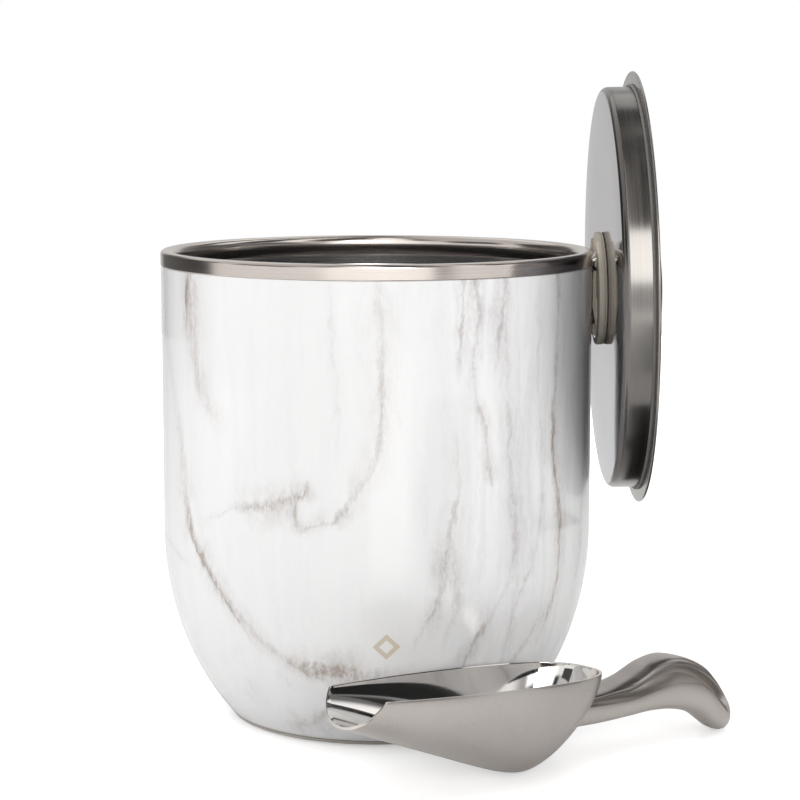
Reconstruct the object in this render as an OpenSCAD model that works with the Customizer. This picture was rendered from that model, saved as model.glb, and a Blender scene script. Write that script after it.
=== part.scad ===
// Double-wall ice bucket with a hanging lid and a loose ice scoop, in millimetres.
// The bucket stands on z = 0 with its axis on the Z axis.
// The lid hangs beside it at +X on a magnet clip, and the scoop lies in front at -Y.

/* [Bucket] */
// Outside diameter of the steel rim
rim_d = 190; // [180:1:200]
// Height from the surface it stands on to the crest of the rim
body_h = 207; // [196:1:218]
// Height of the bare steel rim band
band_h = 6.5; // [5:0.5:9]
// Width of the rolled lip across the two walls
lip_w = 6.5; // [6:0.1:7.5]
// Height at which the straight wall starts to curve in
curve_h = 84.2; // [76:0.1:92]
// Height of the ellipse that the lower wall follows
curve_drop = 114.3; // [108:0.1:124]
// Thickness of the outer wall
shell_t = 1.0; // [0.8:0.1:1.4]
// Thickness of the inner wall
liner_t = 0.9; // [0.7:0.1:1.2]
// Height of the liner floor above the base
floor_h = 15; // [14:0.5:20]
// Height of the seam between the printed wall and the base cap
seam_h = 2.4; // [2:0.1:3.5]

/* [Lid] */
// Diameter of the lid flange
flange_d = 189.4; // [180:0.2:190]
// Thickness of the lid flange
flange_t = 1.2; // [1:0.1:2]
// Diameter of the lid plug
plug_d = 176; // [170:0.5:176]
// Depth of the lid plug below the flange
plug_h = 13.1; // [11:0.1:16]
// Radius of the edge of the plug
plug_fillet = 3; // [2:0.5:4]
// Diameter of the knob
knob_d = 44; // [36:1:50]
// Height of the knob above the lid
knob_h = 9.9; // [9:0.1:14]

/* [Hanger] */
// Distance from the bucket axis to the face of the hanging lid
hang_x = 99.8; // [99.6:0.1:101]
// Height of the middle of the hanging lid
hang_z = 189.5; // [186:0.5:192]
// Outward lean of the hanging lid in degrees
hang_tilt = 1.2; // [0:0.1:1.5]
// Width of the hook strap
strap_w = 25; // [18:1:28]
// Thickness of the hook strap
strap_t = 1.0; // [0.8:0.1:1]
// Diameter of the magnet puck
puck_d = 49.8; // [44:0.2:52]

/* [Scoop] */
// Length of the scoop bowl from lip to back
bowl_l = 124.7; // [122:0.1:128]
// Width of the scoop bowl
bowl_w = 52.4; // [48:0.2:54]
// Width of the pouring lip
mouth_w = 36.4; // [28:0.2:42]
// Thickness of the scoop bowl
bowl_t = 1.2; // [1:0.1:1.6]
// Width of the scoop handle
handle_w = 18; // [14:1:22]
// Heading of the scoop as it lies, in degrees from +X
scoop_turn = 34.4; // [32:0.1:36]

/* [Hidden] */
$fn = 96;

rim_r = rim_d / 2;
wall_r = rim_r - 0.2;             // printed wall, just inside the rim band
band_z = body_h - band_h;
neck_r = rim_r - lip_w;           // inside of the neck
liner_r = neck_r + liner_t;       // outside of the liner
liner_drop = curve_drop - 6;
neck_z = band_z - 2.5;            // joint of the rim and the liner
crest_r = rim_r - 3.6;
bead_z = neck_z - 6;
pad_r = 52;
pad_t = 1.6;
cap_z = 0.5;                      // lowest edge of the base cap
spigot_z = 7;
spigot_t = 0.8;
fit_gap = 0.1;
jacket_z = 9;                     // underside of the welded bottom of the vacuum jacket
jacket_t = 0.9;
seal_r = 3;
getter_r = 9;
getter_t = 2.4;
curve_steps = 26;

flange_r = flange_d / 2;
plug_r = plug_d / 2;
pan_t = 0.8;
seal_ring_r = plug_r + 1.2;
seal_ring_t = 1.3;
keeper_r = 20;
keeper_t = 1.5;
cover_top = plug_h + flange_t;
knob_r = knob_d / 2;
knob_top = cover_top + knob_h;
knob_gap = 5;                     // room for the fingers under the knob
knob_neck_r = 9;
screw_r = 2;
screw_head_r = 3.8;
screw_head_h = 2.2;
washer_r = 6;
washer_t = 1;
screw_reach = 6;                  // length of the screw inside the knob

clear = 0.3;                      // gap between pieces that come apart
strap_out = hang_x - 2.85;        // outer face of the strap's long leg
strap_in = neck_r - 1.4 - clear - strap_t;
strap_top = body_h + clear + 0.1 + strap_t;
strap_drop = 22;                  // reach of the long leg below the lid's middle
strap_lip = 8;                    // reach of the short leg inside the rim
bend_r = 2.5;
puck_r = puck_d / 2;
puck_back = hang_x - 3.8;
puck_split = hang_x - 1.0;
puck_face = hang_x - 0.05;
puck_bevel = 0.9;
magnet_r = 14;
magnet_t = 1.15;
rivet_r = 1.25;
rivet_y = 8;
rivet_z = 6;
foot_r = 2.6;
foot_w = 14;

// radius of the printed wall at height z
function shell_r(z) = z >= curve_h ? wall_r : wall_r * sqrt(1 - pow((curve_h - z) / curve_drop, 2));
// radius of the inside of the printed wall at height z
function shell_in_r(z) = let (r = wall_r - shell_t, d = curve_drop - shell_t)
    z >= curve_h ? r : r * sqrt(1 - pow((curve_h - z) / d, 2));
// radius of the outside of the liner at height z
function liner_out_r(z) = z >= curve_h ? liner_r : liner_r * sqrt(1 - pow((curve_h - z) / liner_drop, 2));
// point on a quadratic curve through a corner b
function bend(a, b, c, t) = (1 - t) * (1 - t) * a + 2 * t * (1 - t) * b + t * t * c;
function steps(n) = [for (i = [0:n]) i / n];
function mix(a, b, t) = a + (b - a) * t;

module revolve(points) {
    rotate_extrude() polygon(points);
}

// ---- bucket ----

module outer_shell() color("whitesmoke") revolve(concat(
    [[wall_r, band_z]],
    [for (t = steps(curve_steps)) let (z = mix(curve_h, seam_h, t)) [shell_r(z), z]],
    [for (t = steps(curve_steps)) let (z = mix(seam_h, curve_h, t)) [shell_in_r(z), z]],
    [[wall_r - shell_t, band_z]]
));

module rim_ring() {
    out = concat(
        [[rim_r, band_z]],
        [for (a = [0:15:90]) [rim_r - 1.7 + 1.7 * cos(a), body_h - 1.7 + 1.7 * sin(a)]],
        [for (t = steps(6)) bend([crest_r, body_h], [neck_r, body_h - 0.6], [neck_r, body_h - 4], t)]
    );
    hollow = concat(
        [[neck_r, neck_z], [neck_r + liner_t, neck_z], [neck_r + liner_t, body_h - 3.4]],
        [[crest_r, body_h - 1.1], [rim_r - 1.9, body_h - 1.1], [rim_r - 1, body_h - 2.2]],
        [[rim_r - 1, band_z]]
    );
    color("silver") revolve(concat(out, hollow));
}

module inner_liner() {
    turn_z = floor_h + 7;
    corner = [liner_out_r(floor_h + 1), floor_h];
    flat_r = corner[0] - 9;
    out = concat(
        [[neck_r + liner_t, neck_z]],
        [for (t = steps(curve_steps)) let (z = mix(curve_h, turn_z, t)) [liner_out_r(z), z]],
        [for (t = steps(6)) bend([liner_out_r(turn_z), turn_z], corner, [flat_r, floor_h], t)],
        [[0, floor_h], [0, floor_h + liner_t]]
    );
    inner = concat(
        [for (t = steps(6)) bend([flat_r, floor_h], corner, [liner_out_r(turn_z), turn_z], t)
            + liner_t * [-0.5, 0.9]],
        [for (t = steps(curve_steps)) let (z = mix(turn_z + 1, curve_h, t)) [liner_out_r(z) - liner_t, z]],
        [[neck_r, bead_z - 1.5], [neck_r - 0.6, bead_z - 0.5], [neck_r - 0.6, bead_z + 0.5]],
        [[neck_r, bead_z + 1.5], [neck_r, neck_z]]
    );
    color("gray") revolve(concat(out, inner));
}

module vacuum_bottom() color("gray") revolve([
    [seal_r + fit_gap / 2, jacket_z],
    [shell_in_r(jacket_z) - fit_gap, jacket_z],
    [shell_in_r(jacket_z + 3) - fit_gap, jacket_z + 3],
    [shell_in_r(jacket_z + 3) - fit_gap - jacket_t, jacket_z + 3],
    [shell_in_r(jacket_z) - fit_gap - jacket_t, jacket_z + jacket_t],
    [seal_r + fit_gap / 2, jacket_z + jacket_t]
]);

module seal_bead() color("darkgray") translate([0, 0, jacket_z - 0.8]) cylinder(r = seal_r, h = jacket_t + 0.8);

module getter() color("dimgray") translate([0, 0, floor_h - getter_t]) cylinder(r = getter_r, h = getter_t);

module base_cap() color("silver") revolve([
    [0, pad_t], [pad_r + fit_gap, pad_t], [pad_r + fit_gap, cap_z],
    [shell_r(cap_z) - 0.8, cap_z], [shell_r(cap_z + 0.8), cap_z + 0.8], [shell_r(seam_h), seam_h],
    [shell_in_r(seam_h) - fit_gap, seam_h], [shell_in_r(spigot_z) - fit_gap, spigot_z],
    [shell_in_r(spigot_z) - fit_gap - spigot_t, spigot_z],
    [shell_in_r(seam_h) - fit_gap - spigot_t, seam_h], [0, seam_h]
]);

module base_pad() color("dimgray") cylinder(r = pad_r, h = pad_t);

// ---- lid, built face down with its plug face on z = 0, then hung ----

// lean of everything that hangs on the clip
module lean() {
    translate([hang_x, 0, hang_z]) rotate([0, -hang_tilt, 0]) translate([-hang_x, 0, -hang_z]) children();
}

module hung() {
    lean() translate([hang_x, 0, hang_z]) rotate([0, 90, 0]) children();
}

module lid_cover() color("silver") hung() difference() {
    revolve([
        [0, plug_h], [flange_r - 0.4, plug_h], [flange_r, plug_h + 0.4],
        [flange_r, cover_top - 0.4], [flange_r - 0.4, cover_top], [0, cover_top]
    ]);
    cylinder(r = screw_r + 0.2, h = knob_top);
}

module lid_plug_pan() {
    corner = [for (a = [0:15:90]) [plug_r - plug_fillet + plug_fillet * sin(a), plug_fillet - plug_fillet * cos(a)]];
    hollow = [for (a = [90:-15:0]) let (r = plug_fillet - pan_t)
        [plug_r - plug_fillet + r * sin(a), plug_fillet - r * cos(a)]];
    color("silver") hung() revolve(concat(
        [[0, 0]], corner, [[plug_r, plug_h], [plug_r - pan_t, plug_h]], hollow, [[0, pan_t]]
    ));
}

module lid_seal_ring() color("gainsboro") hung() revolve([
    [plug_r + 0.02, plug_h - seal_ring_t], [seal_ring_r - 0.4, plug_h - seal_ring_t],
    [seal_ring_r, plug_h - seal_ring_t + 0.4], [seal_ring_r, plug_h - 0.02], [plug_r + 0.02, plug_h - 0.02]
]);

module lid_foam() color("lightyellow") hung() difference() {
    translate([0, 0, plug_fillet]) cylinder(r = plug_r - pan_t - fit_gap, h = plug_h - plug_fillet - fit_gap);
    translate([0, 0, plug_h - 6]) cylinder(r = washer_r + 2, h = 7);
}

module lid_keeper() color("darkgray") hung() translate([0, 0, pan_t + 0.02]) cylinder(r = keeper_r, h = keeper_t);

module lid_knob() color("silver") hung() difference() {
    revolve([
        [0, cover_top], [knob_neck_r + 2, cover_top], [knob_neck_r + 0.6, cover_top + 0.8],
        [knob_neck_r, cover_top + 2], [knob_neck_r + 0.4, cover_top + 3.6],
        [knob_neck_r + 2, cover_top + knob_gap - 0.3], [knob_neck_r + 4, cover_top + knob_gap],
        [knob_r - 1.2, cover_top + knob_gap], [knob_r, cover_top + knob_gap + 1.2],
        [knob_r, knob_top - 1.6], [knob_r - 0.5, knob_top - 0.8], [knob_r - 1.6, knob_top - 0.3],
        [knob_r - 4, knob_top], [0, knob_top]
    ]);
    cylinder(r = screw_r + 0.05, h = cover_top + screw_reach + 0.3);
}

module knob_screw() color("gray") hung() {
    translate([0, 0, plug_h - washer_t - screw_head_h]) cylinder(r = screw_head_r, h = screw_head_h);
    translate([0, 0, plug_h - washer_t - 0.5])
        cylinder(r = screw_r, h = washer_t + 0.5 + flange_t + screw_reach);
}

module knob_washer() color("gray") hung() translate([0, 0, plug_h - washer_t]) difference() {
    cylinder(r = washer_r, h = washer_t);
    translate([0, 0, -1]) cylinder(r = screw_r + 0.15, h = washer_t + 2);
}

// ---- hanger clip: hook strap over the rim and a magnet puck on its long leg ----

// cylinder along +X that starts at x and is centred on the lid's middle
module along_x(x, r, h) {
    translate([x, 0, hang_z]) rotate([0, 90, 0]) cylinder(r = r, h = h);
}

// quarter of a bent strip, turned by a
module strap_bend(x, z, a) {
    translate([x, z]) rotate(a) intersection() {
        difference() {
            circle(r = bend_r);
            circle(r = bend_r - strap_t);
        }
        square(bend_r);
    }
}

module strap_outline() {
    top = strap_top - strap_t;
    translate([strap_out - strap_t, hang_z - strap_drop + strap_w / 2])
        square([strap_t, strap_top - bend_r - hang_z + strap_drop - strap_w / 2]);
    strap_bend(strap_out - bend_r, strap_top - bend_r, 0);
    translate([strap_in + bend_r, top]) square([strap_out - strap_in - 2 * bend_r, strap_t]);
    strap_bend(strap_in + bend_r, strap_top - bend_r, 90);
    translate([strap_in, strap_top - strap_lip]) square([strap_t, strap_lip - bend_r]);
}

module hanger_strap() {
    end_z = hang_z - strap_drop + strap_w / 2;
    color("silver") lean() difference() {
        union() {
            translate([0, strap_w / 2, 0]) rotate([90, 0, 0]) linear_extrude(strap_w) strap_outline();
            intersection() {
                translate([strap_out - strap_t, 0, end_z]) rotate([0, 90, 0]) cylinder(d = strap_w, h = strap_t);
                translate([strap_out - strap_t, -strap_w / 2, end_z - strap_w])
                    cube([strap_t, strap_w, strap_w]);
            }
        }
        for (s = [-1, 1])
            translate([0, s * rivet_y, rivet_z]) along_x(strap_out - 2, rivet_r + 0.05, 4);
    }
}

module hanger_pad() {
    high = band_z - 2.4;
    low = hang_z - 15;
    back = strap_out - strap_t;
    color("rosybrown") difference() {
        lean() translate([0, strap_w / 2, 0]) rotate([90, 0, 0]) linear_extrude(strap_w) polygon([
            [back - 4, high], [back, high], [back, low], [back - 0.5, low], [back - 1.8, low + 8], [back - 4, low + 8]
        ]);
        cylinder(r = wall_r + clear, h = body_h, $fn = 720);
    }
}

module hanger_foot() {
    back = strap_out - strap_t;
    color("rosybrown") difference() {
        lean() intersection() {
            translate([back - 0.1, foot_w / 2, hang_z - 17.7]) rotate([90, 0, 0]) cylinder(r = foot_r, h = foot_w, $fn = 48);
            translate([back - 4, -foot_w, hang_z - 30]) cube([4, 2 * foot_w, 30]);
        }
        cylinder(r = wall_r + clear, h = body_h, $fn = 720);
    }
}

module puck_housing() {
    end_z = hang_z - strap_drop + strap_w / 2;
    color("rosybrown") lean() difference() {
        along_x(puck_back, puck_r, puck_split - puck_back);
        along_x(puck_split - magnet_t - 0.05, magnet_r + 0.05, 2);
        translate([puck_back - 1, 0, end_z]) rotate([0, 90, 0])
            cylinder(d = strap_w + 0.1, h = strap_out + 0.02 - puck_back + 1);
        translate([puck_back - 1, -strap_w / 2 - 0.05, end_z])
            cube([strap_out + 0.02 - puck_back + 1, strap_w + 0.1, 2 * puck_r]);
        for (s = [-1, 1])
            translate([0, s * rivet_y, rivet_z]) along_x(puck_back - 1, rivet_r + 0.05, 4);
    }
}

module puck_cover() color("rosybrown") lean() translate([puck_split, 0, hang_z]) rotate([0, 90, 0]) revolve([
    [0, 0], [puck_r, 0], [puck_r - puck_bevel, puck_face - puck_split], [0, puck_face - puck_split]
]);

module puck_magnet() color("dimgray") lean() along_x(puck_split - magnet_t, magnet_r, magnet_t);

module puck_rivets() color("silver") lean()
    for (s = [-1, 1])
        translate([0, s * rivet_y, rivet_z])
            along_x(strap_out - strap_t, rivet_r, puck_split - magnet_t - 0.1 - strap_out + strap_t);

// ---- scoop, built with its lip at the origin and its length along +X, then laid down ----

belly_u = 82;                     // distance from the lip to where the belly rests
wide_u = 69.6;                    // distance from the lip to the widest place
lip_rim_z = 44.2;                 // height of the rim at the lip
back_rim_z = 37.8;                // height of the rim at the back
lip_floor_z = 31.3;               // height of the floor of the lip
mouth_set = 9.2;                  // how far the corners of the mouth stand back
plan_power = 2.6;
lip_power = 1.08;
belly_power = 1.64;
section_power = 1.15;
scoop_roll = 3;
bowl_rows = 30;
bowl_cols = 20;

module laid() {
    translate([54.3, -102.6, 0.15]) rotate([0, 0, scoop_turn]) rotate([-scoop_roll, 0, 0])
        translate([-belly_u, 0, 0]) children();
}

function ease(t) = t * t * (3 - 2 * t);
function ramp(u, a, b) = ease(max(0, min(1, (u - a) / (b - a))));
function arc_fall(t, p) = pow(max(0, 1 - pow(max(0, t), p)), 1 / p);
function half_width(u, l, w) = u > wide_u
    ? w * arc_fall((u - wide_u) / (l - wide_u), plan_power)
    : mouth_w / 2 + (w - mouth_w / 2) * (1 - pow(1 - u / wide_u, 2));
function rim_z(u) = mix(lip_rim_z, back_rim_z, u / bowl_l);
function belly_z(u, l) = u < belly_u
    ? lip_floor_z * pow(1 - u / belly_u, lip_power)
    : rim_z(u) * (1 - arc_fall((u - belly_u) / (l - belly_u), belly_power));
// point of the bowl at row i and column j, inset by t from the outside
function bowl_point(i, j, t) = let (
        l = bowl_l - t,
        a = 180 * j / bowl_cols,
        s = mouth_set * (1 - sin(a)),
        u = s + (l - s) * 0.9985 * (1 - pow(1 - i / bowl_rows, 1.7)),
        z = min(rim_z(u) - 0.01, belly_z(u, l) + t)
    ) [u, half_width(u, l, bowl_w / 2 - t) * cos(a), rim_z(u) - (rim_z(u) - z) * pow(sin(a), section_power)];

module scoop_bowl() {
    cols = bowl_cols + 1;
    side = (bowl_rows + 1) * cols;
    points = [for (t = [0, bowl_t]) for (i = [0:bowl_rows]) for (j = [0:bowl_cols]) bowl_point(i, j, t)];
    function at(s, i, j) = s * side + i * cols + j;
    out = [for (i = [0:bowl_rows - 1]) for (j = [0:bowl_cols - 1]) each [
        [at(0, i, j), at(0, i, j + 1), at(0, i + 1, j + 1)], [at(0, i, j), at(0, i + 1, j + 1), at(0, i + 1, j)],
        [at(1, i, j), at(1, i + 1, j + 1), at(1, i, j + 1)], [at(1, i, j), at(1, i + 1, j), at(1, i + 1, j + 1)]
    ]];
    rims = [for (i = [0:bowl_rows - 1]) each [
        [at(0, i, 0), at(0, i + 1, 0), at(1, i + 1, 0)], [at(0, i, 0), at(1, i + 1, 0), at(1, i, 0)],
        [at(0, i, bowl_cols), at(1, i + 1, bowl_cols), at(0, i + 1, bowl_cols)],
        [at(0, i, bowl_cols), at(1, i, bowl_cols), at(1, i + 1, bowl_cols)]
    ]];
    mouth = [for (j = [0:bowl_cols - 1]) each [
        [at(0, 0, j), at(1, 0, j), at(1, 0, j + 1)], [at(0, 0, j), at(1, 0, j + 1), at(0, 0, j + 1)]
    ]];
    n = bowl_rows;
    back = concat(
        [for (j = [1:bowl_cols - 1]) [at(0, n, 0), at(0, n, j), at(0, n, j + 1)]],
        [for (j = [1:bowl_cols - 1]) [at(1, n, 0), at(1, n, j + 1), at(1, n, j)]],
        [[at(0, n, 0), at(0, n, bowl_cols), at(1, n, bowl_cols)], [at(0, n, 0), at(1, n, bowl_cols), at(1, n, 0)]]
    );
    color("darkgray") laid() polyhedron(points, concat(out, rims, mouth, back));
}

handle_root = 117;                // where the handle meets the back of the bowl
handle_end = 201;
handle_rows = 36;
root_depth = 0.5;                 // how deep the root is set into the wall of the bowl
root_run = 24;                    // length over which the root's shape fades out
cap_start = 184;                  // where the round end of the handle begins
groove_fade = 185;                // where the groove begins to fade into the round end
station_0 = 104;                  // first station along the handle, and the step between stations
station_step = 13;
// heights at each station: crown, top edge of the groove, foot of the groove, underside
handle_stations = [
    [27.5, 25, 23, 14], [27.5, 26, 23, 14], [28.5, 27, 22.5, 13.8], [31, 28, 22.7, 14.3],
    [35.8, 32.4, 24.7, 14.5], [36.9, 33.6, 25.8, 13.1], [31.5, 27, 21.5, 8.5], [20, 15, 9, -2.6], [11, 8, 2, -9]
];

// smooth curve through the stations, for column c
function station(i, c) = handle_stations[max(0, min(len(handle_stations) - 1, i))][c];
function smooth(a, b, c, d, t) = b + t / 2 * (c - a + t * (2 * a - 5 * b + 4 * c - d + t * (3 * (b - c) + d - a)));
function handle_z(u, c) = let (k = (u - station_0) / station_step, i = floor(k))
    smooth(station(i - 1, c), station(i, c), station(i + 1, c), station(i + 2, c), k - i);
function handle_half(u) = handle_w / 2 * (1 + 0.12 * ramp(u, 160, 195));
function cap(u, p) = arc_fall((u - cap_start) / (handle_end - cap_start), p);

// where the back of the bowl is, at a distance v from the middle and a height z
function back_z(u, v) = let (h = half_width(u, bowl_l, bowl_w / 2))
    h <= abs(v) ? rim_z(u) : rim_z(u) - (rim_z(u) - belly_z(u, bowl_l)) * pow(sin(acos(v / h)), section_power);
function back_u(v, z, lo, hi, n) = let (m = (lo + hi) / 2)
    n == 0 ? m : back_z(m, v) > z ? back_u(v, z, lo, m, n - 1) : back_u(v, z, m, hi, n - 1);

// half of the handle's section: distance out as a share of the width, and the height between two levels
// level 0 is the crown, 1 and 2 the edges of the groove, 3 the underside
handle_side = [
    [0.62, 0.08], [0.92, 0.55], [1, 0.97], [0.74, 1.25], [0.62, 1.5], [0.74, 1.78], [0.99, 2],
    [1, 2.2], [0.9, 2.55], [0.66, 2.86], [0.34, 2.98]
];
handle_outline = concat(
    [[0, 0]], handle_side, [[0, 3]], [for (i = [len(handle_side) - 1:-1:0]) [-handle_side[i][0], handle_side[i][1]]]
);
function level_z(u, q) = let (i = min(2, floor(q))) mix(handle_z(u, i), handle_z(u, i + 1), q - i);
function handle_point(i, q) = let (
        u = mix(handle_root, handle_end - 0.02, 1 - pow(1 - i / handle_rows, 1.35)),
        mid = (handle_z(u, 0) + handle_z(u, 3)) / 2,
        plain = sign(q[0]) * arc_fall(abs(q[1] / 1.5 - 1), 2.5),
        out = mix(q[0], plain, ramp(u, groove_fade, handle_end - 2)),
        v = handle_half(u) * out * max(0.03, cap(u, 2.4)),
        z = mid + (level_z(u, q[1]) - mid) * max(0.05, cap(u, 2)),
        root = back_u(v, z, belly_u, bowl_l, 24) - root_depth - handle_root
    ) [u + root * (1 - ramp(u, handle_root, handle_root + root_run)), v, z];

module scoop_handle() {
    cols = len(handle_outline);
    points = [for (i = [0:handle_rows]) for (q = handle_outline) handle_point(i, q)];
    function at(i, j) = i * cols + j % cols;
    sides = [for (i = [0:handle_rows - 1]) for (j = [0:cols - 1]) each [
        [at(i, j), at(i + 1, j + 1), at(i, j + 1)], [at(i, j), at(i + 1, j), at(i + 1, j + 1)]
    ]];
    ends = concat(
        [for (j = [1:cols - 2]) [at(0, 0), at(0, j), at(0, j + 1)]],
        [for (j = [1:cols - 2]) [at(handle_rows, 0), at(handle_rows, j + 1), at(handle_rows, j)]]
    );
    color("darkgray") laid() polyhedron(points, concat(sides, ends));
}

stud_z = 24;                      // height of the two rivets, and how far they stand from the middle
stud_v = 4.5;
module scoop_rivets() color("silver") laid()
    for (s = [-1, 1])
        translate([back_u(stud_v, stud_z, belly_u, bowl_l, 24) - bowl_t, s * stud_v, stud_z])
            rotate([0, 127, 0]) translate([0, 0, -0.9]) cylinder(r = 1.8, h = 1.5);

outer_shell();
rim_ring();
inner_liner();
vacuum_bottom();
seal_bead();
getter();
base_cap();
base_pad();
lid_cover();
lid_plug_pan();
lid_seal_ring();
lid_foam();
lid_keeper();
lid_knob();
knob_screw();
knob_washer();
hanger_strap();
hanger_pad();
hanger_foot();
puck_housing();
puck_cover();
puck_magnet();
puck_rivets();
scoop_bowl();
scoop_handle();
scoop_rivets();
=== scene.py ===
import bpy
import math
from mathutils import Matrix, Vector


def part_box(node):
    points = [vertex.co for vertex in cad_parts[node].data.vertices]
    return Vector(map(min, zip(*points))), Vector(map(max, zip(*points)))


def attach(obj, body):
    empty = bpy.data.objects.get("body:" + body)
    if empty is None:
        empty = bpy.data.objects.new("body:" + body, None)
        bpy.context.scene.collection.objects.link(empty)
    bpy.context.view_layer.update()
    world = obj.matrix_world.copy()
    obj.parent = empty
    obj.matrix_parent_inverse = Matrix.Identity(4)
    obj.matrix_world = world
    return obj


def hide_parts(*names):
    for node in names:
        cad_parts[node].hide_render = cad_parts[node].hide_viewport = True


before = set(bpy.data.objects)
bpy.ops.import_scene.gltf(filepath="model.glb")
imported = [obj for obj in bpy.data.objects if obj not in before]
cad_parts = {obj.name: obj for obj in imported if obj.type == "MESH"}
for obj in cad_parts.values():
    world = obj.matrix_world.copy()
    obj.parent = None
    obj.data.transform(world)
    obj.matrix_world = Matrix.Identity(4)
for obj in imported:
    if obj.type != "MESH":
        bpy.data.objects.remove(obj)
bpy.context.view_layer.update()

bl_info = {
    "name": "Ice bucket",
    "version": (1, 0, 0),
    "blender": (4, 5, 0),
    "location": "View3D > Sidebar > Ice bucket",
    "description": "Marble-print ice bucket with a lid hung on a magnet clip and a steel scoop",
    "category": "Object",
}

MM = 0.001


# ---------------------------------------------------------------- sizes read from the frame

def box_mm(node):
    low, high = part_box(node)
    return low / MM, high / MM


RIM_LOW, RIM_HIGH = box_mm("rim_ring")
WALL_LOW, WALL_HIGH = box_mm("outer_shell")
LINER_LOW, LINER_HIGH = box_mm("inner_liner")
CAP_LOW, CAP_HIGH = box_mm("base_cap")
PAD_HIGH = box_mm("base_pad")[1]

RIM_R = -RIM_LOW.x
BODY_H = RIM_HIGH.z
WALL_R = WALL_HIGH.x
BAND_Z = WALL_HIGH.z
SEAM_Z = WALL_LOW.z
LINER_R = LINER_HIGH.x
NECK_Z = LINER_HIGH.z
FLOOR_Z = LINER_LOW.z


# ---------------------------------------------------------------- sizes and colours a user would change

def size(name, about, value, low=0.0):
    return bpy.props.FloatProperty(name=name, description=about, default=value * MM, min=low, unit="LENGTH")


def turn(name, about, degrees):
    value = math.radians(degrees)
    return bpy.props.FloatProperty(name=name, description=about, default=value, subtype="ANGLE")


def tint(name, about, *rgb):
    return bpy.props.FloatVectorProperty(
        name=name, description=about, default=rgb, size=3, min=0.0, max=1.0, subtype="COLOR"
    )


class ICEBUCKET_PG_bucket(bpy.types.PropertyGroup):
    curve_h: size("Curve height", "Height where the straight wall starts to curve in", 84.2)
    curve_drop: size("Curve drop", "Height of the ellipse that the lower wall follows", 114.3)
    wall_t: size("Outer wall", "Thickness of the outer wall", 1.0)
    liner_t: size("Inner wall", "Thickness of the inner wall", 0.9)
    lip_w: size("Lip width", "Width of the rolled lip", 6.5)
    bead: size("Neck bead", "How far the bead in the neck stands out", 0.6)


class ICEBUCKET_PG_lid(bpy.types.PropertyGroup):
    face_x: size("Face", "Distance from the bucket's axis to the face of the hung lid", 99.8)
    middle_z: size("Middle", "Height of the middle of the hung lid", 189.5)
    lean: turn("Lean", "Outward lean of the hung lid", 1.2)
    flange_r: size("Flange radius", "Radius of the lid's disc", 94.65)
    flange_t: size("Flange", "Thickness of the lid's disc", 1.2)
    plug_r: size("Plug radius", "Radius of the part that goes into the mouth", 88.0)
    plug_h: size("Plug depth", "Depth of the plug below the disc", 13.1)
    fillet: size("Plug fillet", "Radius of the plug's edge", 3.0)
    knob_r: size("Knob radius", "Radius of the knob", 22.0)
    knob_h: size("Knob height", "Height of the knob above the disc", 9.9)


class ICEBUCKET_PG_clip(bpy.types.PropertyGroup):
    strap_w: size("Strap width", "Width of the hook strap", 25.0)
    strap_t: size("Strap", "Thickness of the hook strap", 1.0)
    strap_out: size("Outer face", "Distance from the bucket's axis to the strap's outer face", 96.95)
    strap_in: size("Inner face", "Distance from the bucket's axis to the inside of the short leg", 85.8)
    strap_top: size("Strap top", "Height of the top of the strap", 208.4)
    bend_r: size("Bend", "Outer radius of the strap's bends", 2.5)
    short_leg: size("Short leg", "Reach of the short leg below the strap's top", 8.0)
    long_leg: size("Long leg", "Reach of the long leg below the lid's middle", 22.0)
    puck_r: size("Puck radius", "Radius of the magnet puck", 24.9)


class ICEBUCKET_PG_scoop(bpy.types.PropertyGroup):
    bowl_l: size("Bowl length", "Length of the bowl from lip to back", 124.7)
    bowl_w: size("Bowl width", "Width of the bowl", 52.35)
    mouth_w: size("Mouth width", "Width of the pouring lip", 36.35)
    bowl_t: size("Bowl wall", "Thickness of the bowl", 1.2)
    handle_w: size("Handle width", "Width of the handle", 18.0)
    heading: turn("Heading", "Heading of the scoop as it lies", 34.4)
    roll: turn("Roll", "Sideways roll of the scoop as it lies", 3.0)


class ICEBUCKET_PG_looks(bpy.types.PropertyGroup):
    print_white: tint("Print white", "Ground of the marble print", 0.65, 0.65, 0.655)
    vein_warm: tint("Warm vein", "Brown of the marble's veins", 0.30, 0.255, 0.225)
    vein_cool: tint("Cool vein", "Grey of the marble's veins", 0.43, 0.43, 0.45)
    mark: tint("Mark", "Taupe of the small printed mark", 0.50, 0.44, 0.35)
    rim: tint("Rim steel", "Steel of the rim", 0.66, 0.61, 0.57)
    liner: tint("Liner steel", "Steel of the inner wall", 0.62, 0.61, 0.61)
    lid: tint("Lid steel", "Steel of the lid", 0.19, 0.18, 0.171)
    plug_face: tint("Plug face", "Polished face of the lid", 0.305, 0.303, 0.330)
    scoop: tint("Scoop steel", "Satin steel of the scoop", 0.50, 0.468, 0.445)
    taupe: tint("Clip silicone", "Taupe of the puck", 0.47, 0.425, 0.36)
    rubber: tint("Foot rubber", "Dark rubber under the bucket", 0.05, 0.05, 0.052)


GROUPS = {
    "icebucket_bucket": ICEBUCKET_PG_bucket,
    "icebucket_lid": ICEBUCKET_PG_lid,
    "icebucket_clip": ICEBUCKET_PG_clip,
    "icebucket_scoop": ICEBUCKET_PG_scoop,
    "icebucket_looks": ICEBUCKET_PG_looks,
}


class Millimetres:
    """The lengths of a property group, read in millimetres."""

    def __init__(self, group):
        self.group = group

    def __getattr__(self, name):
        return getattr(self.group, name) / MM


# ---------------------------------------------------------------- modelling helpers

def mix(a, b, t):
    return a + (b - a) * t


def steps(n):
    return [i / n for i in range(n + 1)]


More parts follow.
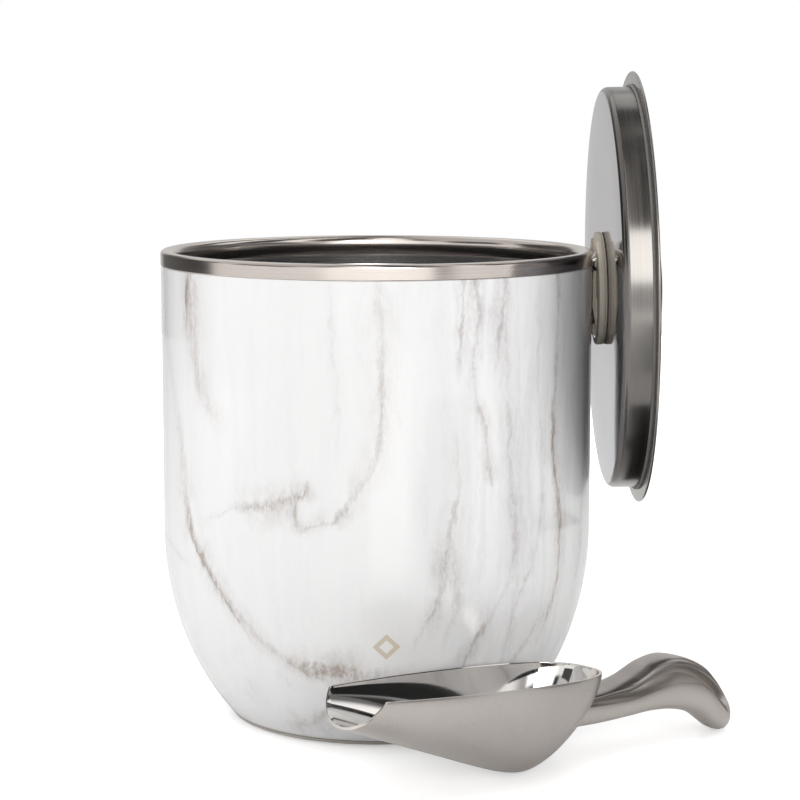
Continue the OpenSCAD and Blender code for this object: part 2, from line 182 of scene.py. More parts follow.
def arc(cx, cz, r, a0, a1, n=8):
    """Points of an arc in a profile, by angle in degrees from the outward direction."""
    angles = [math.radians(mix(a0, a1, t)) for t in steps(n)]
    return [(cx + r * math.cos(a), cz + r * math.sin(a)) for a in angles]


def bend(a, b, c, n=10):
    """Quadratic curve from a to c that leans to the corner b."""
    return [
        tuple((1 - t) ** 2 * a[k] + 2 * t * (1 - t) * b[k] + t * t * c[k] for k in (0, 1)) for t in steps(n)
    ]


def deselect():
    bpy.ops.object.select_all(action="DESELECT")


def take(obj):
    deselect()
    obj.select_set(True)
    bpy.context.view_layer.objects.active = obj
    return obj


def edit(mode="EDGE"):
    bpy.ops.object.mode_set(mode="EDIT")
    bpy.ops.mesh.select_mode(type=mode)


def leave():
    bpy.ops.object.mode_set(mode="OBJECT")


def settle(obj):
    """Puts the piece's place into its mesh."""
    take(obj)
    bpy.ops.object.transform_apply(location=True, rotation=True, scale=True)
    return obj


def place(obj, matrix):
    obj.matrix_world = matrix @ obj.matrix_world
    return settle(obj)


def finish_mesh(obj, angle=30):
    take(obj)
    edit()
    bpy.ops.mesh.select_all(action="SELECT")
    bpy.ops.mesh.remove_doubles(threshold=0.002 * MM)
    bpy.ops.mesh.normals_make_consistent(inside=False)
    leave()
    bpy.ops.object.shade_smooth_by_angle(angle=math.radians(angle))
    return obj


def turned(name, profile, sides=192, angle=30):
    """A turned piece about Z: a ring is extruded and scaled from one profile point to the next."""
    deselect()
    start = 1 if profile[0][0] == 0 else 0
    r, z = profile[start]
    bpy.ops.mesh.primitive_circle_add(vertices=sides, radius=r * MM, location=(0, 0, z * MM))
    obj = bpy.context.object
    obj.name = name
    edit()
    if start:
        bpy.ops.mesh.select_all(action="SELECT")
        bpy.ops.mesh.extrude_edges_move()
        bpy.ops.mesh.merge(type="CENTER")
        base = obj.location.z / MM
        choose(obj, lambda p: near(math.hypot(p.x, p.y), r) and near(p.z, z - base), "EDGE")
    for r_next, z_next in profile[start + 1:]:
        bpy.ops.mesh.extrude_edges_move(TRANSFORM_OT_translate={"value": (0, 0, (z_next - z) * MM)})
        if r_next == 0:
            bpy.ops.mesh.merge(type="CENTER")
            break
        grow = r_next / r
        bpy.ops.transform.resize(value=(grow, grow, 1), center_override=(0, 0, z_next * MM))
        r, z = r_next, z_next
    leave()
    settle(obj)
    return finish_mesh(obj, angle)


def near(a, b):
    """True where a length in metres is one in millimetres."""
    return abs(a - b * MM) < 1e-6


def choose(obj, test, mode="VERT"):
    """Selects the vertices that pass a test, or the edges between them, in edit mode."""
    bpy.ops.mesh.select_all(action="DESELECT")
    leave()
    for v in obj.data.vertices:
        v.select = test(v.co)
    edit("VERT")
    bpy.ops.mesh.select_mode(type=mode)


def modifier(obj, kind, **values):
    take(obj)
    m = obj.modifiers.new(kind.lower(), kind)
    for key, value in values.items():
        setattr(m, key, value)
    bpy.ops.object.modifier_apply(modifier=m.name)


def bevel_edges(obj, width, angle):
    """Rounds the edges sharper than an angle."""
    limit = math.radians(angle)
    modifier(obj, "BEVEL", width=width * MM, segments=3, limit_method="ANGLE", angle_limit=limit)


def keep(obj, body, slot, nodes, *materials):
    """Gives a finished piece its materials and body, and hides the CAD nodes it stands for. The slot is not
    used.
    """
    obj.data.materials.clear()
    for material in materials:
        obj.data.materials.append(material)
    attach(obj, body)
    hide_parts(*nodes)
    return obj


# ---------------------------------------------------------------- material helpers

def opaque(value):
    """A colour of three numbers with its alpha added; anything else as it is."""
    return (*value, 1.0) if isinstance(value, tuple) and len(value) == 3 else value


class Nodes:
    """A node tree being built."""

    def __init__(self, tree, shader, coords):
        self.tree = tree
        self.shader = next(n for n in tree.nodes if n.type == shader)
        self.coords = tree.nodes.new("ShaderNodeTexCoord").outputs[coords]

    def node(self, kind, **values):
        n = self.tree.nodes.new(kind)
        for key, value in values.items():
            setattr(n, key, value)
        return n

    def link(self, source, target):
        self.tree.links.new(source, target)

    def feed(self, socket, value):
        if hasattr(value, "is_linked"):
            self.link(value, socket)
        else:
            socket.default_value = opaque(value)

    def math(self, operation, *values, clamp=False):
        n = self.node("ShaderNodeMath", operation=operation, use_clamp=clamp)
        for socket, value in zip(n.inputs, values):
            self.feed(socket, value)
        return n.outputs[0]

    def add(self, a, b, clamp=False):
        return self.math("ADD", a, b, clamp=clamp)

    def sub(self, a, b):
        return self.math("SUBTRACT", a, b)

    def mul(self, a, b, clamp=False):
        return self.math("MULTIPLY", a, b, clamp=clamp)

    def radius(self, x, y):
        return self.math("SQRT", self.add(self.mul(x, x), self.mul(y, y)))

    def xyz(self, vector=None):
        n = self.node("ShaderNodeSeparateXYZ")
        self.link(vector or self.coords, n.inputs[0])
        return n.outputs

    def vector(self, x=0.0, y=0.0, z=0.0):
        n = self.node("ShaderNodeCombineXYZ")
        for socket, value in zip(n.inputs, (x, y, z)):
            self.feed(socket, value)
        return n.outputs[0]

    def moved(self, place=(0, 0, 0), angles=(0, 0, 0), scale=(1, 1, 1), vector=None):
        n = self.node("ShaderNodeMapping", vector_type="POINT")
        self.link(vector or self.coords, n.inputs["Vector"])
        n.inputs["Location"].default_value = place
        n.inputs["Rotation"].default_value = angles
        n.inputs["Scale"].default_value = scale
        return n.outputs[0]

    def noise(self, vector, scale, detail=3.0, rough=0.5, warp=0.0):
        n = self.node("ShaderNodeTexNoise")
        self.link(vector, n.inputs["Vector"])
        n.inputs["Scale"].default_value = scale
        n.inputs["Detail"].default_value = detail
        n.inputs["Roughness"].default_value = rough
        n.inputs["Distortion"].default_value = warp
        return n.outputs["Fac"]

    def spread(self, value, low, high, out_low=0.0, out_high=1.0, smooth=True):
        n = self.node("ShaderNodeMapRange", interpolation_type="SMOOTHSTEP" if smooth else "LINEAR")
        self.link(value, n.inputs["Value"])
        for key, number in (("From Min", low), ("From Max", high), ("To Min", out_low), ("To Max", out_high)):
            n.inputs[key].default_value = number
        return n.outputs["Result"]

    def curve(self, value, points):
        """A curve through points whose two numbers both lie from 0 to 1."""
        n = self.node("ShaderNodeFloatCurve")
        line = n.mapping.curves[0]
        for x, y in points[1:-1]:
            line.points.new(x, y)
        line.points[0].location = points[0]
        line.points[-1].location = points[-1]
        n.mapping.update()
        self.link(value, n.inputs["Value"])
        return n.outputs["Value"]

    def blend(self, factor, first, second, mode="MIX"):
        n = self.node("ShaderNodeMix", data_type="RGBA", blend_type=mode, clamp_factor=True)
        self.feed(n.inputs[0], factor)
        self.feed(n.inputs[6], first)
        self.feed(n.inputs[7], second)
        return n.outputs[2]


class Finish(Nodes):
    """A material being built round its Principled shader."""

    def __init__(self, name, **sockets):
        self.material = bpy.data.materials.new(name)
        self.material.use_nodes = True
        super().__init__(self.material.node_tree, "BSDF_PRINCIPLED", "Object")
        for key, value in sockets.items():
            self.set(key.replace("_", " "), value)

    def set(self, name, value):
        self.shader.inputs[name].default_value = opaque(value)

    def bump(self, height, strength, distance):
        n = self.node("ShaderNodeBump")
        n.inputs["Strength"].default_value = strength
        n.inputs["Distance"].default_value = distance
        self.link(height, n.inputs["Height"])
        self.link(n.outputs["Normal"], self.shader.inputs["Normal"])

    def colour(self, output):
        self.link(output, self.shader.inputs["Base Color"])

    def roughness(self, output):
        self.link(output, self.shader.inputs["Roughness"])


def rgb(value):
    return tuple(value)


def scaled(colour, k):
    return tuple(min(1.0, c * k) for c in colour)


def spun_steel(name, colour, rough, axis_place=(0, 0, 0), axis_turn=(0, 0, 0), grain=0.05, lines=2600.0):
    """Steel brushed on a lathe: fine rings about an axis, which the mapping brings onto Z."""
    f = Finish(name, Metallic=1.0)
    around = f.moved(axis_place, axis_turn)
    x, y, z = f.xyz(around)
    radius = f.radius(x, y)
    rings = f.vector(f.mul(radius, lines), f.mul(z, lines), f.mul(f.math("ARCTAN2", y, x), 1.2))
    fine = f.noise(rings, 1.0, 2.0, 0.6)
    broad = f.noise(f.moved(scale=(0.06, 0.06, 1.0), vector=rings), 1.0, 3.0, 0.55)
    tone = f.add(f.mul(fine, 0.6), f.mul(broad, 0.4))
    f.colour(f.blend(f.spread(tone, 0.3, 0.7), scaled(colour, 1 - grain * 2), scaled(colour, 1 + grain)))
    f.roughness(f.spread(tone, 0.25, 0.75, rough * 0.82, rough * 1.22))
    f.bump(fine, 0.02, 0.01 * MM)
    f.set("Anisotropic", 0.4)
    return f.material


def satin_steel(name, colour, rough, grain=0.04, drawn=(1, 1, 1)):
    """Fine satin steel: soft cloudy variation and very fine grain, drawn out along one direction."""
    f = Finish(name, Metallic=1.0)
    fine = f.noise(f.moved(scale=drawn), 2400.0, 2.0, 0.6)
    cloud = f.noise(f.coords, 34.0, 4.0, 0.55)
    tone = f.add(f.mul(fine, 0.55), f.mul(cloud, 0.45))
    f.colour(f.blend(f.spread(tone, 0.3, 0.7), scaled(colour, 1 - grain), scaled(colour, 1 + grain)))
    f.roughness(f.spread(tone, 0.25, 0.75, rough * 0.85, rough * 1.18))
    f.bump(fine, 0.04, 0.015 * MM)
    return f.material


def mirror_steel(name, colour, rough):
    """Polished steel with faint smears and tiny pits."""
    f = Finish(name, Metallic=1.0)
    smear = f.noise(f.coords, 22.0, 5.0, 0.6, 0.4)
    pits = f.noise(f.coords, 900.0, 2.0, 0.5)
    f.colour(f.blend(f.spread(smear, 0.3, 0.75), colour, scaled(colour, 0.94)))
    worn = f.spread(smear, 0.35, 0.8, rough, rough * 1.9)
    f.roughness(f.add(worn, f.spread(pits, 0.66, 0.8, 0.0, 0.05)))
    return f.material


def moulded(name, colour, rough, grain=380.0, depth=0.03):
    """Soft moulded rubber or foam: matte, with a fine skin."""
    f = Finish(name, Specular_IOR_Level=0.32)
    skin = f.noise(f.coords, grain, 4.0, 0.6)
    cloud = f.noise(f.coords, 60.0, 3.0, 0.5)
    f.colour(f.blend(f.spread(cloud, 0.3, 0.7), scaled(colour, 0.93), scaled(colour, 1.06)))
    f.roughness(f.spread(skin, 0.3, 0.7, rough * 0.92, rough * 1.08))
    f.bump(skin, 0.25, depth * MM)
    return f.material


# Each vein has the points it runs through, its strength along them, the width of its core and of its
# halo in millimetres, and its share of brown. The points of a rising vein are (height in millimetres,
# angle in degrees from the front), and those of a lying vein are (angle, height).
RISING_VEINS = (
    # left vein, from the rim's left down to the middle of the foot
    (((30, -12), (38, -22), (46, -30), (56, -37), (70, -45), (84, -53), (98, -58), (118, -60),
      (140, -64), (165, -70)),
     ((24, 0), (34, 0.35), (50, 0.45), (66, 0.7), (88, 1.0), (104, 0.7), (125, 0.3), (170, 0.15)),
     3.2, 9.0, 0.75),
    (((40, -33), (52, -37), (64, -42), (76, -49), (90, -56), (110, -58)),
     ((40, 0), (56, 0.5), (74, 0.8), (92, 0.6), (112, 0)),
     1.1, 3.0, 0.9),
    # soft brown cloud high on the left
    (((138, -44), (150, -50), (165, -53), (182, -55), (200, -56)),
     ((130, 0), (148, 0.35), (170, 0.5), (190, 0.6), (202, 0.6)),
     5.0, 9.0, 0.8),
    (((168, -58), (184, -58.5), (202, -57)),
     ((164, 0), (180, 0.7), (202, 0.9)),
     0.8, 2.0, 0.7),
    # middle vein, straight down from the rim and curling left into the cluster
    (((98, -18), (101, -13), (106, -9), (113, -6), (120, -3.5), (132, -0.5), (150, 1), (200, 0)),
     ((94, 0), (102, 0.8), (112, 0.75), (124, 0.5), (145, 0.6), (175, 0.35), (202, 0.3)),
     1.8, 7.5, 0.6),
    (((96, -19), (106, -20), (113, -17.5), (119, -17)),
     ((94, 0), (104, 0.7), (114, 0.7), (120, 0)),
     0.9, 3.0, 0.7),
    (((120, -11), (145, -9.5), (170, -10), (200, -12)),
     ((116, 0), (140, 0.16), (175, 0.22), (202, 0.12)),
     0.8, 2.5, 0.3),
    # dark dashes high on the right
    (((165, 21), (180, 21.5), (202, 22)),
     ((150, 0), (170, 0.7), (190, 1.0), (202, 0.9)), 0.9, 3.0, 0.35),
    (((150, 24.5), (172, 25.5), (186, 26.5), (202, 24.5)),
     ((146, 0), (160, 0.4), (180, 0.9), (194, 0.8), (202, 0.9)), 1.2, 4.0, 0.35),
    (((160, 31.5), (175, 31.5), (190, 32), (202, 33)),
     ((152, 0), (172, 0.6), (186, 0.9), (202, 0.5)), 1.1, 5.0, 0.3),
    (((114, 30), (124, 29), (134, 28), (143, 27), (152, 25)),
     ((112, 0), (120, 0.95), (132, 0.6), (144, 0.85), (154, 0.3)), 1.5, 5.0, 0.45),
    # long veins that sweep down the right side
    (((40, 25), (50, 27.5), (62, 31), (80, 35.5), (100, 37), (130, 36), (160, 34), (200, 33.5)),
     ((36, 0.5), (44, 1.0), (54, 0.8), (66, 0.4), (90, 0.55), (130, 0.5), (170, 0.35), (202, 0.5)),
     1.2, 5.5, 0.45),
    (((46, 38), (60, 38), (72, 40), (86, 44), (105, 47), (130, 47), (160, 45), (200, 46)),
     ((36, 0), (50, 0.4), (72, 0.5), (95, 0.5), (130, 0.45), (165, 0.2), (202, 0.3)),
     1.0, 5.0, 0.4),
    (((44, 50), (60, 52.5), (76, 54.2), (95, 55), (112, 54), (132, 52.5), (160, 52), (200, 52.5)),
     ((34, 0), (48, 0.5), (66, 0.6), (90, 0.85), (112, 1.0), (134, 0.9), (158, 0.45), (202, 0.5)),
     1.2, 4.5, 0.8),
    (((50, 9), (64, 13.5), (76, 16.5), (92, 18), (110, 19.5), (140, 19.5)),
     ((40, 0), (54, 0.3), (72, 0.8), (84, 0.8), (100, 0.5), (130, 0.35), (150, 0)),
     1.2, 6.0, 0.6),
    (((52, 18), (66, 20.5), (80, 20), (100, 19)),
     ((44, 0), (60, 0.55), (74, 0.6), (96, 0)), 2.6, 7.0, 0.5),
    (((60, 66), (90, 69), (130, 70), (170, 69)),
     ((44, 0), (80, 0.5), (140, 0.45), (185, 0)), 3.0, 7.0, 0.4),
    (((36, 42), (48, 46), (60, 48)),
     ((26, 0), (42, 0.6), (62, 0)), 1.4, 5.0, 0.5),
)
LYING_VEINS = (
    (((-34, 105), (-28, 106.5), (-22, 110), (-16, 112)),
     ((-42, 0), (-30, 0.9), (-20, 0.6), (-12, 0)), 2.2, 8.0, 0.7),
    (((-50, 98), (-42, 101), (-34, 105)),
     ((-56, 0), (-44, 0.25), (-32, 0.3), (-26, 0)), 0.8, 3.0, 0.5),
    (((-24, 41), (-14, 37.5), (-6, 36.5), (8, 38)),
     ((-30, 0), (-14, 1.0), (-6, 0.9), (14, 0)), 3.4, 9.0, 0.75),
    (((-80, 83), (-68, 80), (-58, 77)),
     ((-84, 0.2), (-68, 0.35), (-54, 0)), 0.8, 2.5, 0.3),
    (((-30, 8), (-22, 12), (-14, 18), (-4, 24)),
     ((-38, 0), (-26, 0.6), (-12, 0.7), (6, 0)), 3.0, 8.0, 0.5),
)


# height up to which the print's curves run, and how far the cores and halos of the veins fade out
PRINT_TOP = 210.0
CORE_FADE = 1.5
HALO_FADE = 1.7
# round the back the print is drawn narrower, turned in degrees and set lower in millimetres
BACK_NARROW = 0.42
BACK_TURN = 14.0
BACK_DROP = 24.0
# small plain printed lozenge on the front: its middle, its outer and inner reach and its soft edge
MARK_X = 4.0
MARK_Z = 49.5
MARK_OUT = 5.6
MARK_IN = 2.9
MARK_EDGE = 0.3


def whole(points):
    """The points of a curve, held level out to 0 and to 1."""
    before = [(0.0, points[0][1])] if points[0][0] > 0 else []
    return before + points + [(1.0, points[-1][1])]


def marble(name, looks, wall_r, top):
    """The marble print: soft clouds, drawn streaks and long veins on a white ground, under a clear coat."""
    f = Finish(name, Roughness=0.32, Coat_Weight=0.85, Coat_Roughness=0.035, Specular_IOR_Level=0.5)
    x, y, z = f.xyz()
    # angle round the wall from the front in degrees, and height in millimetres
    side = f.math("DIVIDE", x, f.math("MAXIMUM", f.radius(x, y), 0.001))
    angle = f.mul(f.math("ARCSINE", side), 180 / math.pi)
    height = f.mul(z, 1 / MM)
    # round the back the pattern runs on, changed so that it doesn't mirror the front
    back = f.spread(y, 0.0, 0.07)
    angle = f.mul(angle, f.sub(1.0, f.mul(back, BACK_NARROW)))
    angle = f.add(angle, f.mul(back, BACK_TURN))
    height = f.add(height, f.mul(back, BACK_DROP))
    # uneven edges: the print's coordinates wander a little
    wander = f.noise(f.moved(scale=(1, 1, 0.45)), 48.0, 3.0, 0.55)
    shift = f.mul(f.sub(wander, 0.5), 6.0)
    small = f.noise(f.moved(scale=(1, 1, 0.3)), 330.0, 3.0, 0.7)
    shift = f.add(shift, f.mul(f.sub(small, 0.5), 3.4))
    angle = f.add(angle, shift)
    crumb = f.noise(f.coords, 210.0, 4.0, 0.65)
    height = f.add(height, f.mul(f.sub(wander, 0.5), -8.0))
    height = f.add(height, f.mul(f.sub(crumb, 0.5), 5.0))
    deg_mm = math.radians(1.0) * wall_r
    # streaks break the veins up, smoke the clouds round them, and specks both
    flow = f.vector(f.mul(angle, 0.5), f.mul(height, 0.05), f.mul(y, 4.0))
    streak = f.noise(flow, 1.0, 5.0, 0.68, 0.6)
    speck = f.noise(f.moved(scale=(1, 1, 0.42)), 780.0, 4.0, 0.75)
    smoke = f.noise(f.moved(scale=(1, 1, 0.4)), 95.0, 5.0, 0.62, 0.35)
    broken = f.add(f.spread(streak, 0.34, 0.66, 0.2, 1.25), f.spread(speck, 0.3, 0.7, -0.35, 0.35))
    clouded = f.mul(f.spread(smoke, 0.3, 0.68, 0.05, 1.25), f.spread(speck, 0.3, 0.7, 0.55, 1.35))

    up = f.math("DIVIDE", height, top, clamp=True)
    across = f.math("DIVIDE", f.add(angle, 90.0), 180.0, clamp=True)
    warm_sum = 0.0
    cool_sum = 0.0
    for veins, along, place_of, centre_of, unit in (
        (RISING_VEINS, up, lambda p: p / top, lambda c: (c + 90) / 180, 180 * deg_mm),
        (LYING_VEINS, across, lambda p: (p + 90) / 180, lambda c: c / top, top),
    ):
        here = across if along == up else up
        for path, strengths, width, halo_width, warmth in veins:
            line = [(place_of(p), centre_of(c)) for p, c in path]
            force = [(place_of(p), strength) for p, strength in strengths]
            centre = f.curve(along, whole(line))
            power = f.curve(along, whole(force))
            away = f.mul(f.math("ABSOLUTE", f.sub(here, centre)), unit)
            core = f.spread(away, 0.0, width * CORE_FADE, 0.9, 0.0)
            halo = f.spread(away, 0.0, halo_width * HALO_FADE, 0.5, 0.0)
            mask = f.add(f.mul(core, broken), f.mul(halo, clouded))
            mask = f.mul(mask, power)
            warm_sum = f.add(warm_sum, f.mul(mask, warmth))
            cool_sum = f.add(cool_sum, f.mul(mask, 1 - warmth))
    warm = f.mul(warm_sum, 0.9, clamp=True)
    cool = f.mul(cool_sum, 0.95, clamp=True)

    # soft grey clouds and long pale streaks over the whole print
    cloud = f.noise(f.moved(scale=(1, 1, 0.5)), 16.0, 5.0, 0.6, 0.5)
    long_flow = f.vector(f.mul(angle, 0.22), f.mul(height, 0.012), f.mul(y, 3.0))
    drawn = f.noise(long_flow, 1.0, 6.0, 0.66, 0.5)
    right = f.spread(angle, 12.0, 36.0, 0.25, 1.0)
    haze = f.mul(f.spread(drawn, 0.42, 0.7, 0.0, 0.34), right)
    foot = f.mul(f.spread(height, 22.0, 62.0, 0.30, 0.0), f.spread(smoke, 0.47, 0.72))
    haze = f.add(haze, f.add(foot, f.spread(cloud, 0.5, 0.8, 0.0, 0.16)))
    haze = f.mul(haze, f.spread(speck, 0.3, 0.7, 0.6, 1.3), clamp=True)
    ground = f.blend(haze, rgb(looks.print_white), rgb(looks.vein_cool))
    veined = f.blend(cool, ground, rgb(looks.vein_cool))
    veined = f.blend(warm, veined, rgb(looks.vein_warm))

    mark_x = f.mul(f.sub(x, MARK_X * MM), 1 / MM)
    mark_z = f.mul(f.sub(z, MARK_Z * MM), 1 / MM)
    reach = f.add(f.math("ABSOLUTE", mark_x), f.math("ABSOLUTE", mark_z))
    inside = f.spread(reach, MARK_OUT, MARK_OUT + MARK_EDGE, 1.0, 0.0)
    hole = f.spread(reach, MARK_IN, MARK_IN + MARK_EDGE, 0.0, 1.0)
    front = f.math("LESS_THAN", y, 0.0)
    mark = f.mul(f.mul(inside, hole), front)
    f.colour(f.blend(mark, veined, rgb(looks.mark)))
    f.roughness(f.spread(speck, 0.3, 0.7, 0.28, 0.36))
    return f.material


# ---------------------------------------------------------------- bucket

def wall_radius(s, z, r):
    """Radius of a wall at height z: straight above, an ellipse below."""
    if z >= s.curve_h:
        return r
    return r * math.sqrt(1 - ((s.curve_h - z) / s.curve_drop) ** 2)


class ICEBUCKET_OT_printed_wall(bpy.types.Operator):
    """Outer wall with the marble print"""
    bl_idname = "icebucket.printed_wall"
    bl_label = "Printed wall"

    def execute(self, context):
        s = Millimetres(context.scene.icebucket_bucket)
        drops = [mix(s.curve_h, SEAM_Z + 0.3, t) for t in steps(60)]
        outside = [(wall_radius(s, z, WALL_R), z) for z in drops]
        low_r = wall_radius(s, SEAM_Z, WALL_R)
        inside = [(wall_radius(s, z, WALL_R) - s.wall_t, z) for z in (SEAM_Z + 0.2, 20, 50, s.curve_h)]
        profile = (
            [(WALL_R - 0.3, BAND_Z), (WALL_R, BAND_Z - 0.25), (WALL_R, 160), (WALL_R, 120)]
            + outside + [(low_r - 0.35, SEAM_Z + 0.05)] + inside
            + [(WALL_R - s.wall_t, BAND_Z), (WALL_R - 0.3, BAND_Z)]
        )
        wall = turned("printed_wall", profile, sides=256, angle=50)
        looks = context.scene.icebucket_looks
        keep(wall, "bucket", "shell_print", ["outer_shell"], marble("marble_print", looks, WALL_R, PRINT_TOP))
        return {"FINISHED"}


class ICEBUCKET_OT_rim(bpy.types.Operator):
    """Steel band and rolled lip"""
    bl_idname = "icebucket.rim"
    bl_label = "Rim"

    def execute(self, context):
        s = Millimetres(context.scene.icebucket_bucket)
        neck_r = RIM_R - s.lip_w
        crest_r = RIM_R - 3.6
        edge_r = 1.7
        top = BODY_H
        foot = BAND_Z + 0.02
        profile = (
            [(RIM_R - 0.9, foot), (RIM_R - 0.25, foot), (RIM_R, BAND_Z + 0.3), (RIM_R, BAND_Z + 1.2)]
            + arc(RIM_R - edge_r, top - edge_r, edge_r, 0, 90, 10)
            + bend((crest_r, top), (neck_r, top - 0.5), (neck_r, top - 4), 12)
            + [(neck_r, NECK_Z + 0.35), (neck_r + 0.25, NECK_Z), (neck_r + s.liner_t, NECK_Z)]
            + [(neck_r + s.liner_t, top - 3.4), (crest_r, top - 1.1), (RIM_R - 1.9, top - 1.1)]
            + [(RIM_R - 1, top - 2.2), (RIM_R - 0.9, foot)]
        )
        rim = turned("steel_rim", profile, angle=40)
        steel = spun_steel("rim_steel", rgb(context.scene.icebucket_looks.rim), 0.17, grain=0.04)
        keep(rim, "bucket", "rim_steel", ["rim_ring"], steel)
        return {"FINISHED"}


class ICEBUCKET_OT_liner(bpy.types.Operator):
    """Inner wall with its neck bead and rounded floor"""
    bl_idname = "icebucket.liner"
    bl_label = "Liner"

    def execute(self, context):
        s = Millimetres(context.scene.icebucket_bucket)
        neck_r = RIM_R - s.lip_w
        bead_z = NECK_Z - 6
        depth = s.curve_drop - 6
        turn_z = FLOOR_Z + 7

        def radius(z, r):
            return r if z >= s.curve_h else r * math.sqrt(1 - ((s.curve_h - z) / depth) ** 2)

        corner_r = radius(FLOOR_Z + 1, LINER_R)
        flat_r = corner_r - 9
        thick = s.liner_t
        drops = [mix(s.curve_h, turn_z, t) for t in steps(30)]
        outside = [(LINER_R, NECK_Z)] + [(radius(z, LINER_R), z) for z in drops]
        outside += bend((radius(turn_z, LINER_R), turn_z), (corner_r, FLOOR_Z), (flat_r, FLOOR_Z), 8)[1:]
        corner = bend((flat_r, FLOOR_Z), (corner_r, FLOOR_Z), (radius(turn_z, LINER_R), turn_z), 8)
        inside = [(r - 0.5 * thick, z + 0.9 * thick) for r, z in corner]
        rises = [mix(turn_z + 1, s.curve_h, t) for t in steps(30)]
        inside += [(radius(z, LINER_R) - thick, z) for z in rises]
        bead_low = bead_z - 1.3
        bead_high = bead_z + 1.3
        swell = [(neck_r - s.bead * math.sin(math.pi * t), mix(bead_low, bead_high, t)) for t in steps(10)]
        bead = [(neck_r, bead_z - 1.8)] + swell + [(neck_r, bead_z + 1.8), (neck_r, NECK_Z)]
        spin_lines = [(flat_r * k, FLOOR_Z + 0.9 * thick) for k in (0.33, 0.66)]
        profile = (
            [(0, FLOOR_Z + 0.9 * thick)] + spin_lines + inside + bead
            + outside + [(flat_r * 0.5, FLOOR_Z), (0, FLOOR_Z)]
        )
        liner = turned("liner", profile, angle=40)
        colour = rgb(context.scene.icebucket_looks.liner)
        steel = spun_steel("liner_steel", colour, 0.2, grain=0.05, lines=1700.0)
        keep(liner, "bucket", "liner_steel", ["inner_liner"], steel)
        return {"FINISHED"}


class ICEBUCKET_OT_foot(bpy.types.Operator):
    """Bare steel cup under the print, and the rubber disc it stands on"""
    bl_idname = "icebucket.foot"
    bl_label = "Foot"

    def execute(self, context):
        s = Millimetres(context.scene.icebucket_bucket)
        looks = context.scene.icebucket_looks
        low, pad_r, pad_t = CAP_LOW.z, PAD_HIGH.x, PAD_HIGH.z
        in_top = wall_radius(s, CAP_HIGH.z, WALL_R) - s.wall_t - 0.2
        in_low = wall_radius(s, SEAM_Z, WALL_R) - s.wall_t - 0.2
        cup_t = 0.8
        edge = [wall_radius(s, low, WALL_R) - 0.8, wall_radius(s, low + 0.8, WALL_R)]
        profile = (
            [(0, pad_t + 0.01), (pad_r + 0.1, pad_t + 0.01), (pad_r + 0.1, low + 0.3), (pad_r + 0.4, low)]
            + bend((edge[0], low), (edge[1] - 0.15, low), (edge[1], low + 0.8), 5)
            + [(wall_radius(s, SEAM_Z - 0.15, WALL_R), SEAM_Z - 0.15)]
            + [(wall_radius(s, SEAM_Z, WALL_R) - 0.3, SEAM_Z), (in_low, SEAM_Z), (in_top, CAP_HIGH.z)]
            + [(in_top - cup_t, CAP_HIGH.z), (in_low - cup_t, SEAM_Z), (0, SEAM_Z)]
        )
        cup = turned("foot_cup", profile, angle=40)
        steel = spun_steel("foot_steel", scaled(rgb(looks.rim), 0.95), 0.24)
        keep(cup, "bucket", "cap_steel", ["base_cap"], steel)
        tread = [(r, 0.0) for r in (30, 30.6)] + [(31.0, 0.35), (32.0, 0.35), (32.4, 0.0)]
        tread += [(r, z) for r, z in ((44, 0.0), (44.4, 0.35), (45.4, 0.35), (45.8, 0.0))]
        disc = (
            [(0, 0)] + tread + bend((pad_r - 0.5, 0), (pad_r, 0), (pad_r, 0.5), 4)
            + [(pad_r, pad_t - 0.05), (0, pad_t - 0.05)]
        )
        pad = turned("rubber_foot", disc, angle=35)
        keep(pad, "bucket", "foot_rubber", ["base_pad"], moulded("foot_rubber", rgb(looks.rubber), 0.62))
        return {"FINISHED"}


# ---------------------------------------------------------------- lid, built face down on Z, then hung

def lean_matrix(lid):
    """Lean of everything that hangs on the clip."""
    centre = Vector((lid.face_x, 0, lid.middle_z))
    return Matrix.Translation(centre) @ Matrix.Rotation(-lid.lean, 4, "Y") @ Matrix.Translation(-centre)


def hung_matrix(lid):
    centre = Vector((lid.face_x, 0, lid.middle_z))
    return lean_matrix(lid) @ Matrix.Translation(centre) @ Matrix.Rotation(math.pi / 2, 4, "Y")


def lid_axis(lid):
    """Mapping that brings the hung lid's axis back onto Z: its place and angles."""
    back = hung_matrix(lid).inverted()
    return tuple(back.to_translation()), tuple(back.to_euler())


def lid_steel(context, name, colour, rough, grain=0.05):
    axis_place, axis_turn = lid_axis(context.scene.icebucket_lid)
    return spun_steel(name, colour, rough, axis_place, axis_turn, grain=grain, lines=2200.0)


class ICEBUCKET_OT_lid_disc(bpy.types.Operator):
    """Wide steel disc that overhangs the rim"""
    bl_idname = "icebucket.lid_disc"
    bl_label = "Lid disc"

    def execute(self, context):
        lid = context.scene.icebucket_lid
        s = Millimetres(lid)
        r, low = s.flange_r, s.plug_h
        top = low + s.flange_t
        half = s.flange_t / 2
        profile = (
            [(0, low), (s.plug_r, low)] + arc(r - half, low + half, half, -90, 90, 8)
            + [(60, top), (24, top), (0, top)]
        )
        disc = place(turned("lid_disc", profile, angle=30), hung_matrix(lid))
        colour = rgb(context.scene.icebucket_looks.lid)
        # the disc takes the lid's steel made 1.75 times lighter: painted light, so the disc shows brighter
        # than the lid's sides
        steel = lid_steel(context, "lid_disc_steel_painted_light", scaled(colour, 1.75), 0.2)
        keep(disc, "lid", "lid_steel", ["lid_cover"], steel)
        return {"FINISHED"}


